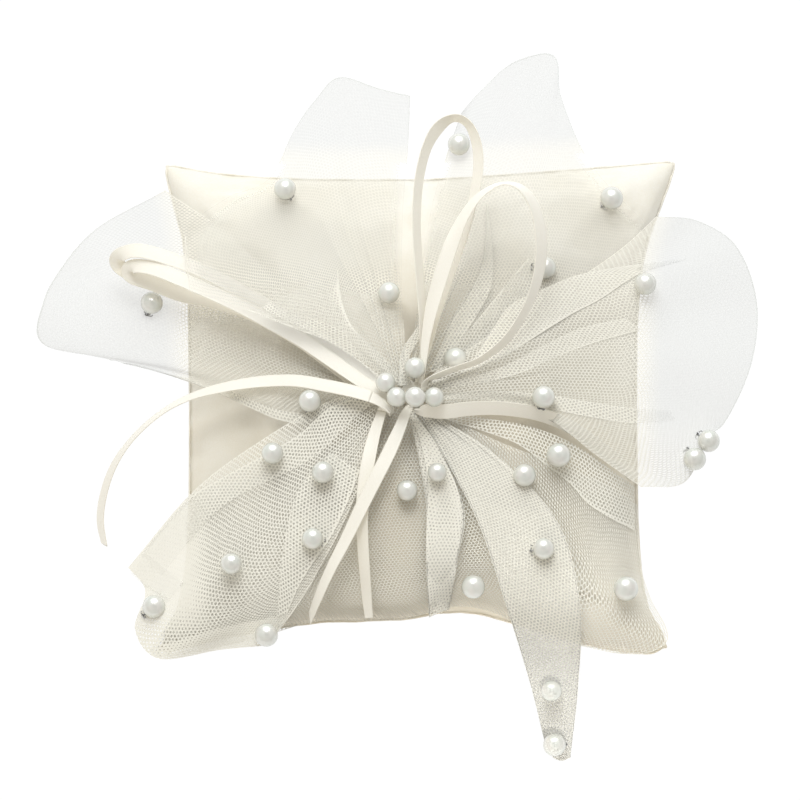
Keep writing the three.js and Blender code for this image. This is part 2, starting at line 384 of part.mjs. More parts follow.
// ------------------------------------------------------------- satin ribbons
// Each ribbon is given by its centre line and, at each point, the direction
// of its width: [[x, y, z], [wx, wy, wz]].
const RIBBONS = {
  ribbon_loop_left_back: [
    [[-12.8, -6.5, 69], [-0.62, -0.784, 0]],
    [[-22.4, 1.1, 69.2], [-0.617, -0.787, -0]],
    [[-34.4, 10.4, 69.2], [-0.606, -0.795, 0]],
    [[-46.4, 19.4, 69.2], [-0.567, -0.824, 0]],
    [[-58.4, 26.9, 69.4], [-0.52, -0.854, 0]],
    [[-72.4, 35.2, 70.2], [-0.491, -0.871, 0]],
    [[-86.4, 42.7, 70.5], [-0.428, -0.904, 0]],
    [[-100.4, 48.4, 70], [-0.339, -0.941, -0]],
    [[-110.4, 51.4, 69], [-0.172, -0.985, 0]],
    [[-116.4, 51.2, 67], [0.176, -0.984, 0]],
    [[-119.6, 49.7, 63], [0.996, -0.091, 0]],
    [[-116.8, 46.8, 59.2], [0.463, 0.886, -0]],
    [[-107.2, 43.2, 57.4], [0.357, 0.934, 0]],
    [[-94.4, 38.3, 57], [0.397, 0.918, -0]],
    [[-80.4, 31.7, 58.8], [0.461, 0.887, -0]],
    [[-62.4, 21.6, 61.8], [0.517, 0.856, -0]],
    [[-46.4, 11.1, 65], [0.549, 0.836, -0]],
    [[-28.4, -0.7, 65.8], [0.522, 0.853, -0]],
    [[-16, -7.5, 65.8], [0.481, 0.876, -0]],
  ],
  ribbon_loop_left_front: [
    [[-14.8, -9.3, 70.2], [-0.555, -0.832, 0]],
    [[-23.2, -3.7, 70.6], [-0.582, -0.813, 0]],
    [[-34.4, 4.7, 70.8], [-0.588, -0.809, 0]],
    [[-46.4, 13.2, 71], [-0.545, -0.838, 0]],
    [[-58.4, 20.3, 71.2], [-0.499, -0.866, 0]],
    [[-70.4, 27, 71.6], [-0.468, -0.884, 0]],
    [[-82.4, 33, 71.4], [-0.443, -0.897, 0]],
    [[-94.4, 38.9, 70.6], [-0.436, -0.9, 0]],
    [[-104.4, 43.7, 69], [-0.376, -0.926, 0]],
    [[-111.6, 45.8, 66.6], [-0.146, -0.989, 0]],
    [[-114.8, 45.2, 63.6], [0.923, -0.384, 0]],
    [[-113.2, 42, 60.8], [0.596, 0.803, -0]],
    [[-105.2, 38.1, 59.8], [0.407, 0.914, 0]],
    [[-93.6, 33.3, 60.2], [0.377, 0.926, 0]],
    [[-80.4, 28, 61.8], [0.418, 0.908, -0]],
    [[-64.4, 19.8, 64.4], [0.508, 0.861, 0]],
    [[-46.4, 8, 66.6], [0.555, 0.832, -0]],
    [[-28.4, -4.2, 67.2], [0.55, 0.835, 0]],
    [[-17.6, -11, 67.2], [0.533, 0.846, -0]],
  ],
  ribbon_loop_top: [
    [[4, 0.6, 69.2], [-0.647, -0.337, 0.684]],
    [[4, 7.1, 72.4], [-0.578, -0.35, 0.738]],
    [[2.8, 19.1, 77], [-0.518, -0.296, 0.803]],
    [[1.6, 34.6, 81], [-0.526, -0.222, 0.821]],
    [[0.4, 50.6, 84], [-0.527, -0.174, 0.832]],
    [[0.4, 64.6, 86.5], [-0.547, -0.118, 0.829]],
    [[1.6, 76.6, 88.5], [-0.552, -0.031, 0.833]],
    [[4.4, 87.6, 90], [-0.553, 0.102, 0.827]],
    [[8.8, 95.3, 91], [-0.508, 0.353, 0.786]],
    [[14.8, 99.4, 91.4], [0.002, 0.204, 0.979]],
    [[20.4, 97.6, 90.5], [0.323, 0.095, 0.942]],
    [[24, 90, 89.2], [0.599, 0.018, 0.801]],
    [[24.8, 79.9, 87.6], [0.656, -0.17, 0.735]],
    [[22.8, 67.2, 85], [0.588, -0.313, 0.746]],
    [[18.8, 53, 81], [0.579, -0.369, 0.727]],
    [[13.6, 38, 77.5], [0.59, -0.337, 0.734]],
    [[8.8, 20.2, 74], [0.598, -0.292, 0.746]],
    [[6, 7.4, 71.6], [0.599, -0.273, 0.752]],
  ],
  ribbon_loop_upper_right: [
    [[5.6, -0.3, 76.5], [-0.652, 0.229, -0.723]],
    [[6.4, 9.8, 79], [-0.714, 0.251, -0.654]],
    [[8, 22.2, 82.5], [-0.834, 0.28, -0.476]],
    [[10.4, 33.7, 86], [-0.947, 0.275, -0.166]],
    [[13.6, 45.4, 89], [-0.925, 0.356, -0.136]],
    [[18, 55.5, 91.5], [-0.66, 0.495, -0.565]],
    [[23.2, 63.3, 93.5], [-0.426, 0.571, -0.702]],
    [[28.8, 67.9, 95], [-0.193, 0.568, -0.8]],
    [[34.8, 70.2, 95.6], [-0.037, 0.515, -0.856]],
    [[40.8, 69.1, 95.2], [0.206, 0.624, -0.754]],
    [[45.6, 64.5, 93.8], [0.567, 0.553, -0.61]],
    [[48.8, 56.8, 91.5], [0.762, 0.353, -0.543]],
    [[50, 46.8, 88.5], [0.774, 0.216, -0.595]],
    [[49.2, 37.4, 85], [0.7, 0.128, -0.703]],
    [[46.4, 28.1, 81.5], [0.543, 0.084, -0.836]],
    [[42, 19.4, 78.5], [0.424, 0.013, -0.906]],
    [[35.2, 10.1, 76], [0.32, -0.096, -0.942]],
    [[25.6, 2.9, 74.6], [0.115, -0.043, -0.992]],
    [[15.6, -0.8, 74.2], [0.032, 0.009, -0.999]],
    [[8.4, -3.7, 74], [0.026, 0.004, -1]],
  ],
  ribbon_tail_left: [
    [[-18, -11.8, 71.8], [-0.327, -0.945, 0.026]],
    [[-25.6, -9.2, 71.6], [-0.283, -0.959, 0.017]],
    [[-36.4, -6.4, 70.4], [-0.241, -0.97, 0.008]],
    [[-47.2, -3.8, 68.6], [-0.176, -0.982, 0.075]],
    [[-58.4, -2.8, 65.8], [-0.061, -0.988, 0.14]],
    [[-69.2, -3.2, 63.4], [-0.023, -0.954, 0.298]],
    [[-79.6, -4.1, 60], [-0.072, -0.901, 0.428]],
    [[-89.2, -5.4, 55.4], [-0.176, -0.825, 0.537]],
    [[-98.4, -7.6, 48.5], [-0.225, -0.808, 0.545]],
    [[-107.6, -11.4, 39], [-0.163, -0.832, 0.531]],
    [[-115.6, -16.7, 29], [-0.002, -0.84, 0.543]],
    [[-121.6, -23.6, 20], [0.287, -0.769, 0.57]],
    [[-125.2, -32.4, 12.6], [0.465, -0.609, 0.643]],
    [[-126.4, -41, 7], [0.519, -0.355, 0.777]],
    [[-124.8, -50.2, 4.2], [0.374, -0.21, 0.903]],
  ],
  ribbon_tail_front_under: [
    [[-13.6, -15.8, 66.4], [0.908, -0.277, 0.313]],
    [[-16.8, -26.4, 66.3], [0.957, -0.247, 0.153]],
    [[-19.2, -37.8, 66], [0.982, -0.182, 0.047]],
    [[-20.8, -48.6, 64.1], [0.966, -0.152, 0.208]],
    [[-21.6, -59.1, 61.5], [0.872, -0.15, 0.466]],
    [[-21.2, -69.8, 58], [0.806, -0.177, 0.564]],
    [[-20.4, -80, 53.3], [0.759, -0.305, 0.575]],
    [[-19.6, -88, 46.2], [0.696, -0.437, 0.569]],
    [[-18.8, -94.1, 40.5], [0.58, -0.517, 0.629]],
  ],
  ribbon_tail_front_over: [
    [[-3.6, -16.6, 68.7], [0.922, -0.332, 0.197]],
    [[-6.8, -25, 69.6], [0.925, -0.377, -0.032]],
    [[-10.8, -34.4, 69.4], [0.907, -0.42, 0.042]],
    [[-16, -45, 68.3], [0.884, -0.458, 0.095]],
    [[-22, -56.8, 65.5], [0.842, -0.496, 0.212]],
    [[-28, -68.4, 61.2], [0.746, -0.547, 0.38]],
    [[-34, -79.2, 56.9], [0.605, -0.6, 0.523]],
    [[-38.8, -88.4, 50.7], [0.449, -0.712, 0.54]],
    [[-42.4, -95, 43], [0.237, -0.794, 0.56]],
  ],
  ribbon_tail_right: [
    [[4, -15.4, 65.4], [0.029, 0.823, 0.568]],
    [[12, -15.6, 65.2], [-0.026, 0.824, 0.566]],
    [[20.8, -14.2, 64.4], [-0.035, 0.772, 0.634]],
    [[30.4, -13.6, 63.8], [0.055, 0.747, 0.662]],
    [[40, -14, 62.5], [0.177, 0.69, 0.702]],
    [[50, -15.4, 60.6], [0.312, 0.655, 0.688]],
    [[60, -18.7, 57.9], [0.466, 0.543, 0.699]],
    [[70, -24.1, 54], [0.578, 0.407, 0.708]],
    [[79.6, -30.2, 48.5], [0.686, 0.246, 0.685]],
    [[87.2, -34.5, 40.5], [0.753, 0.134, 0.644]],
  ],
};

function ribbonGeometry(points, steps) {
  const P = points.map((r) => r[0]), Wd = points.map((r) => r[1]), top = [], bottom = [];
  for (let i = 0; i <= steps; i++) {
    const t = i / steps, p = new THREE.Vector3(...spline(P, t)), w = new THREE.Vector3(...spline(Wd, t)).normalize();
    const a = new THREE.Vector3(...spline(P, Math.min(1, t + 0.01))), b = new THREE.Vector3(...spline(P, Math.max(0, t - 0.01)));
    const tan = a.sub(b).normalize();
    w.addScaledVector(tan, -w.dot(tan)).normalize();
    const n = new THREE.Vector3().crossVectors(w, tan).normalize().multiplyScalar(RIBBON_T / 2);
    w.multiplyScalar(RIBBON_W / 2);
    const l = p.clone().sub(w), r = p.clone().add(w);
    top.push([l.clone().add(n).toArray(), r.clone().add(n).toArray()]);
    bottom.push([l.clone().sub(n).toArray(), r.clone().sub(n).toArray()]);
  }
  return slab(top, bottom);
}
for (const [name, points] of Object.entries(RIBBONS)) {
  add(name, ribbonGeometry(points, name.includes('loop') ? 22 : 13), ribbonSatin());
}


// ------------------------------------------------------- knot and its binding
const KNOT_Z = 65.6, BINDING_Z = [59.6, 63.0], KNOT_AT = [-2.2, -7.4];
// the turns of thread that bind the petals' gathered necks, as one wound ring
{
  const [z0, z1] = BINDING_Z, ring = [[2.2, z0], [3.4, z0], [4.0, (z0 + z1) / 2], [3.4, z1], [2.2, z1], [2.0, (z0 + z1) / 2], [2.2, z0]];
  const g = new THREE.LatheGeometry(ring.map(([r, z]) => new THREE.Vector2(r, z)), 14);
  g.rotateX(Math.PI / 2); g.translate(KNOT_AT[0], KNOT_AT[1], 0);
  add('gather_binding', closeSeams(g), threadMat());
}
// the ribbon knot that the loops and tails spring from: a rounded, slightly squashed wrap
{
  const g = new THREE.SphereGeometry(1, 12, 8);
  g.scale(4.6, 4.2, 2.1); g.translate(KNOT_AT[0], KNOT_AT[1], KNOT_Z);
  add('ribbon_knot', closeSeams(g), ribbonSatin());
}

export default assembly;
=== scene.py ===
"""Ring bearer pillow: the looks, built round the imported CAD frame.
A stuffed satin cushion with a sewn edge, gathered tulle petals with hexagonal holes, satin ribbon loops and tails, and pearl studs with four-claw backs."""
import bpy
import math
import numpy as np
from mathutils import Matrix, Vector
from mathutils.bvhtree import BVHTree
from mathutils.kdtree import KDTree


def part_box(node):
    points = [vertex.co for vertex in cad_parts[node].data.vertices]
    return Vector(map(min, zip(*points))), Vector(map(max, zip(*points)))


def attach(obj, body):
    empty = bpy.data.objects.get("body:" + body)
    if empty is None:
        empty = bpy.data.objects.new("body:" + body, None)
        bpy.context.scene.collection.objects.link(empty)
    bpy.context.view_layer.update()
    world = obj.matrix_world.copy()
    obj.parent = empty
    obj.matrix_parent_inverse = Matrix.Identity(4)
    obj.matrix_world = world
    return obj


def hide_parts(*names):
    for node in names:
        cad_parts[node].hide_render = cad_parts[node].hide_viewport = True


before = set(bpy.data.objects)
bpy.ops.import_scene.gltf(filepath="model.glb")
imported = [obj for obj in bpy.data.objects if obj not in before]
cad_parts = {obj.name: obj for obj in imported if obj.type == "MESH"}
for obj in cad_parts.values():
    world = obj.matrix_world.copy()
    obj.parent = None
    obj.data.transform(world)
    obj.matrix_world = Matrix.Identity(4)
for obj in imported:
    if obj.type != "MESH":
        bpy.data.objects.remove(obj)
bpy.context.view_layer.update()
MM = 0.001
scene = bpy.context.scene

# ------------------------------------------------------------------ numbers of the design, in millimetres
SATIN_DARK, SATIN_LIGHT = (236, 228, 208), (253, 251, 244)
# NET_DARK and NET_LIGHT: the net's own ivory, warmed partly as painted bounce light from the satin; the two greyer
# colours after them are painted shade for the net off the cushion
NET_DARK, NET_LIGHT, NET_PAINTED_SHADE_DARK, NET_PAINTED_SHADE_LIGHT, NET_PITCH = (234, 230, 216), (249, 246, 236), (212, 213, 211), (229, 230, 228), 1.5
RIBBON_DARK, RIBBON_LIGHT = (243, 238, 224), (254, 251, 243)
RIBBONS = {
    "ribbon_loop_left_back": [[[-9.6,-16.54,66.0],[-0.95,-0.3,0],0.35],[[-10.8,-12.08,67.8],[-0.85,-0.5,0],0.55],[[-12.8,-6.5,69.0],[-0.62,-0.784,0.0],0.8],[[-22.4,1.1,69.2],[-0.617,-0.787,-0.0],0.92],[[-34.4,10.4,69.2],[-0.606,-0.795,0.0],1.0],[[-46.4,19.4,69.2],[-0.567,-0.824,0.0],1.0],[[-58.4,26.9,69.4],[-0.52,-0.854,0.0],1.0],[[-72.4,35.2,70.2],[-0.491,-0.871,0.0],1.0],[[-86.4,42.7,70.5],[-0.428,-0.904,0.0],1.0],[[-100.4,48.4,70.0],[-0.339,-0.941,-0.0],1.0],[[-110.4,51.4,69.0],[-0.172,-0.985,0.0],1.0],[[-116.4,51.2,67.0],[0.176,-0.984,0.0],1.0],[[-119.6,49.7,63.0],[0.996,-0.091,0.0],1.0],[[-116.8,46.8,59.2],[0.463,0.886,-0.0],1.0],[[-107.2,43.2,57.4],[0.357,0.934,0.0],1.0],[[-94.4,38.3,57.0],[0.397,0.918,-0.0],1.0],[[-80.4,34.18,58.8],[0.461,0.887,-0.0],1.0],[[-62.4,27.56,61.8],[0.517,0.856,-0.0],1.0],[[-46.4,17.03,65.0],[0.549,0.836,-0.0],1.0],[[-28.4,3.54,65.8],[0.522,0.853,-0.0],1.0],[[-16.0,-6.67,65.8],[0.481,0.876,-0.0],0.75],[[-12.0,-11.49,65.0],[0.7,0.7,0],0.5],[[-9.6,-16.53,64.8],[0.9,0.4,0],0.3]],
    "ribbon_loop_left_front": [[[-10.0,-17.4,67.2],[-0.9,-0.4,0],0.3],[[-12.0,-13.37,69.0],[-0.75,-0.65,0],0.55],[[-14.8,-9.3,70.2],[-0.555,-0.832,0.0],0.8],[[-23.2,-3.7,70.6],[-0.582,-0.813,0.0],0.92],[[-34.4,4.7,70.8],[-0.588,-0.809,0.0],1.0],[[-46.4,13.2,71.0],[-0.545,-0.838,0.0],1.0],[[-58.4,20.3,71.2],[-0.499,-0.866,0.0],1.0],[[-70.4,27.0,71.6],[-0.468,-0.884,0.0],1.0],[[-82.4,33.0,71.4],[-0.443,-0.897,0.0],1.0],[[-94.4,38.9,70.6],[-0.436,-0.9,0.0],1.0],[[-104.4,43.7,69.0],[-0.376,-0.926,0.0],1.0],[[-111.6,45.8,66.6],[-0.146,-0.989,0.0],1.0],[[-114.8,45.2,63.6],[0.923,-0.384,0.0],1.0],[[-113.2,43.25,60.8],[0.596,0.803,-0.0],1.0],[[-105.2,40.63,59.8],[0.407,0.914,0.0],1.0],[[-93.6,35.8,60.2],[0.377,0.926,0.0],1.0],[[-80.4,32.24,61.8],[0.418,0.908,-0.0],1.0],[[-64.4,25.76,64.4],[0.508,0.861,0.0],1.0],[[-46.4,14.32,66.6],[0.555,0.832,-0.0],1.0],[[-28.4,0.05,67.2],[0.55,0.835,0.0],1.0],[[-17.6,-9.31,67.2],[0.533,0.846,-0.0],0.75],[[-13.2,-13.28,66.4],[0.7,0.7,0],0.5],[[-9.8,-17.32,65.8],[0.9,0.4,0],0.3]],
    "ribbon_loop_top": [[[0.4,-4.56,67],[-0.65,-0.34,0.68],0.4],[[2.0,2.01,70],[-0.647,-0.337,0.684],0.6],[[3.0,7.95,72.4],[-0.578,-0.35,0.738],0.8],[[2.8,19.1,77.0],[-0.518,-0.296,0.803],1.0],[[1.6,34.6,81.0],[-0.526,-0.222,0.821],1.0],[[0.4,50.6,84.0],[-0.527,-0.174,0.832],1.0],[[0.4,64.6,86.5],[-0.547,-0.118,0.829],1.0],[[1.6,76.6,88.5],[-0.552,-0.031,0.833],1.0],[[4.4,87.6,90.0],[-0.553,0.102,0.827],1.0],[[8.8,95.3,91.0],[-0.508,0.353,0.786],1.0],[[14.8,99.4,91.4],[0.002,0.204,0.979],1.0],[[20.4,97.6,90.5],[0.323,0.095,0.942],1.0],[[24.0,90.0,89.2],[0.599,0.018,0.801],1.0],[[24.8,79.9,87.6],[0.656,-0.17,0.735],1.0],[[22.8,67.2,85.0],[0.588,-0.313,0.746],1.0],[[18.8,53.0,81.0],[0.579,-0.369,0.727],1.0],[[13.6,38.0,77.5],[0.59,-0.337,0.734],1.0],[[7.4,20.14,74.0],[0.598,-0.292,0.746],1.0],[[4.4,7.82,71.6],[0.599,-0.273,0.752],0.7],[[2.4,1.83,70.5],[0.6,-0.27,0.75],0.55],[[0.8,-4.31,67.5],[0.6,-0.27,0.75],0.4]],
    "ribbon_loop_upper_right": [[[1.6,-6.01,71],[-0.65,0.23,-0.72],0.4],[[2.8,-0.35,76.5],[-0.652,0.229,-0.723],0.55],[[3.8,9.81,79.0],[-0.714,0.251,-0.654],0.8],[[6.2,22.15,82.5],[-0.834,0.28,-0.476],1.0],[[9.6,33.65,86.0],[-0.947,0.275,-0.166],1.0],[[13.6,45.4,89.0],[-0.925,0.356,-0.136],1.0],[[18.0,55.5,91.5],[-0.66,0.495,-0.565],1.0],[[23.2,63.3,93.5],[-0.426,0.571,-0.702],1.0],[[28.8,67.9,95.0],[-0.193,0.568,-0.8],1.0],[[34.8,70.2,95.6],[-0.037,0.515,-0.856],1.0],[[40.8,69.1,95.2],[0.206,0.624,-0.754],1.0],[[45.6,64.5,93.8],[0.567,0.553,-0.61],1.0],[[48.8,56.8,91.5],[0.762,0.353,-0.543],1.0],[[50.0,46.8,88.5],[0.774,0.216,-0.595],1.0],[[49.2,37.4,85.0],[0.7,0.128,-0.703],1.0],[[46.4,28.1,81.5],[0.543,0.084,-0.836],1.0],[[42.0,19.4,78.5],[0.424,0.013,-0.906],1.0],[[35.2,10.1,76.0],[0.32,-0.096,-0.942],1.0],[[25.6,2.9,74.6],[0.115,-0.043,-0.992],1.0],[[15.6,-0.8,74.2],[0.032,0.009,-0.999],1.0],[[8.4,-3.7,74.0],[0.026,0.004,-1.0],1.0],[[5.2,-4.82,73.8],[0.1,0.2,-0.97],0.9],[[3.32,-6.81,73.2],[0.5,0.3,-0.8],0.7],[[3.0,-9.36,72.0],[0.6,0.2,-0.75],0.45]],
    "ribbon_tail_left": [[[-18.0,-11.8,71.8],[-0.327,-0.945,0.026],0.78],[[-25.6,-9.2,71.6],[-0.283,-0.959,0.017],0.88],[[-36.4,-6.4,70.4],[-0.241,-0.97,0.008],0.88],[[-47.2,-3.8,68.6],[-0.176,-0.982,0.075],0.88],[[-58.4,-2.8,65.8],[-0.061,-0.988,0.14],0.88],[[-69.2,-3.2,63.4],[-0.023,-0.954,0.298],0.88],[[-79.6,-4.1,60.0],[-0.072,-0.901,0.428],0.88],[[-89.2,-5.4,55.4],[-0.176,-0.825,0.537],0.88],[[-98.4,-7.6,48.5],[-0.225,-0.808,0.545],0.88],[[-107.6,-11.4,39.0],[-0.163,-0.832,0.531],0.88],[[-115.6,-16.7,29.0],[-0.002,-0.84,0.543],0.88],[[-121.6,-23.6,20.0],[0.287,-0.769,0.57],0.88],[[-125.2,-32.4,12.6],[0.465,-0.609,0.643],0.88],[[-126.4,-41.0,7.0],[0.519,-0.355,0.777],0.88],[[-124.8,-50.2,4.2],[0.374,-0.21,0.903],0.88]],
    "ribbon_tail_front_under": [[[-13.6,-15.8,66.4],[0.908,-0.277,0.313],0.66],[[-16.8,-26.4,66.3],[0.957,-0.247,0.153],0.82],[[-19.2,-37.8,66.0],[0.982,-0.182,0.047],0.92],[[-20.8,-48.6,64.1],[0.966,-0.152,0.208],0.92],[[-21.6,-59.1,61.5],[0.872,-0.15,0.466],0.92],[[-21.2,-69.8,58.0],[0.806,-0.177,0.564],0.92],[[-20.4,-80.0,53.3],[0.759,-0.305,0.575],0.92],[[-19.6,-88.0,46.2],[0.696,-0.437,0.569],0.92],[[-18.8,-94.1,40.5],[0.58,-0.517,0.629],0.92]],
    "ribbon_tail_front_over": [[[-1.6,-15.01,69.4],[0.92,-0.33,0.2],0.38],[[-3.6,-16.6,68.7],[0.922,-0.332,0.197],0.62],[[-6.8,-25.0,69.6],[0.925,-0.377,-0.032],0.8],[[-10.8,-34.4,69.4],[0.907,-0.42,0.042],0.92],[[-16.0,-45.0,68.3],[0.884,-0.458,0.095],0.92],[[-22.0,-56.8,65.5],[0.842,-0.496,0.212],0.92],[[-28.0,-68.4,61.2],[0.746,-0.547,0.38],0.92],[[-34.0,-79.2,56.9],[0.605,-0.6,0.523],0.92],[[-38.8,-88.4,50.7],[0.449,-0.712,0.54],0.92],[[-42.4,-95.0,43.0],[0.237,-0.794,0.56],0.92]],
    "ribbon_tail_right": [[[-0.8,-16.08,68.25],[0.03,0.82,0.57],0.22],[[1.2,-16.52,67.72],[0.03,0.82,0.57],0.5],[[4.0,-16.12,67.37],[0.029,0.823,0.568],0.9],[[12.0,-16.63,68.02],[-0.026,0.824,0.566],1.0],[[20.8,-15.23,67.22],[-0.035,0.772,0.634],1.0],[[30.4,-14.63,66.62],[0.055,0.747,0.662],1.0],[[40.0,-15.01,65.27],[0.177,0.69,0.702],1.0],[[50.0,-15.98,62.2],[0.312,0.655,0.688],1.0],[[60.0,-18.85,58.32],[0.466,0.543,0.699],1.0],[[70.0,-24.1,54.0],[0.578,0.407,0.708],1.0],[[79.6,-30.2,48.5],[0.686,0.246,0.685],1.0],[[87.2,-34.5,40.5],[0.753,0.134,0.644],1.0]],
}
ROOTS = {
    "left_tail_root": [[[-10.0,-18.07,70.8],[-0.8,-0.6,0],0.3],[[-13.6,-14.32,71.6],[-0.5,-0.86,0],0.6],[[-18.0,-11.75,71.65],[-0.327,-0.945,0.026],0.78],[[-18.91,-11.44,71.63],[-0.327,-0.945,0.026],0.78]],
    "front_tail_root_under": [[[-13.0,-13.79,68.4],[0.9,-0.3,0.3],0.32],[[-13.6,-15.75,66.25],[0.908,-0.277,0.313],0.66],[[-13.98,-17.02,66.24],[0.908,-0.277,0.313],0.66]],
}
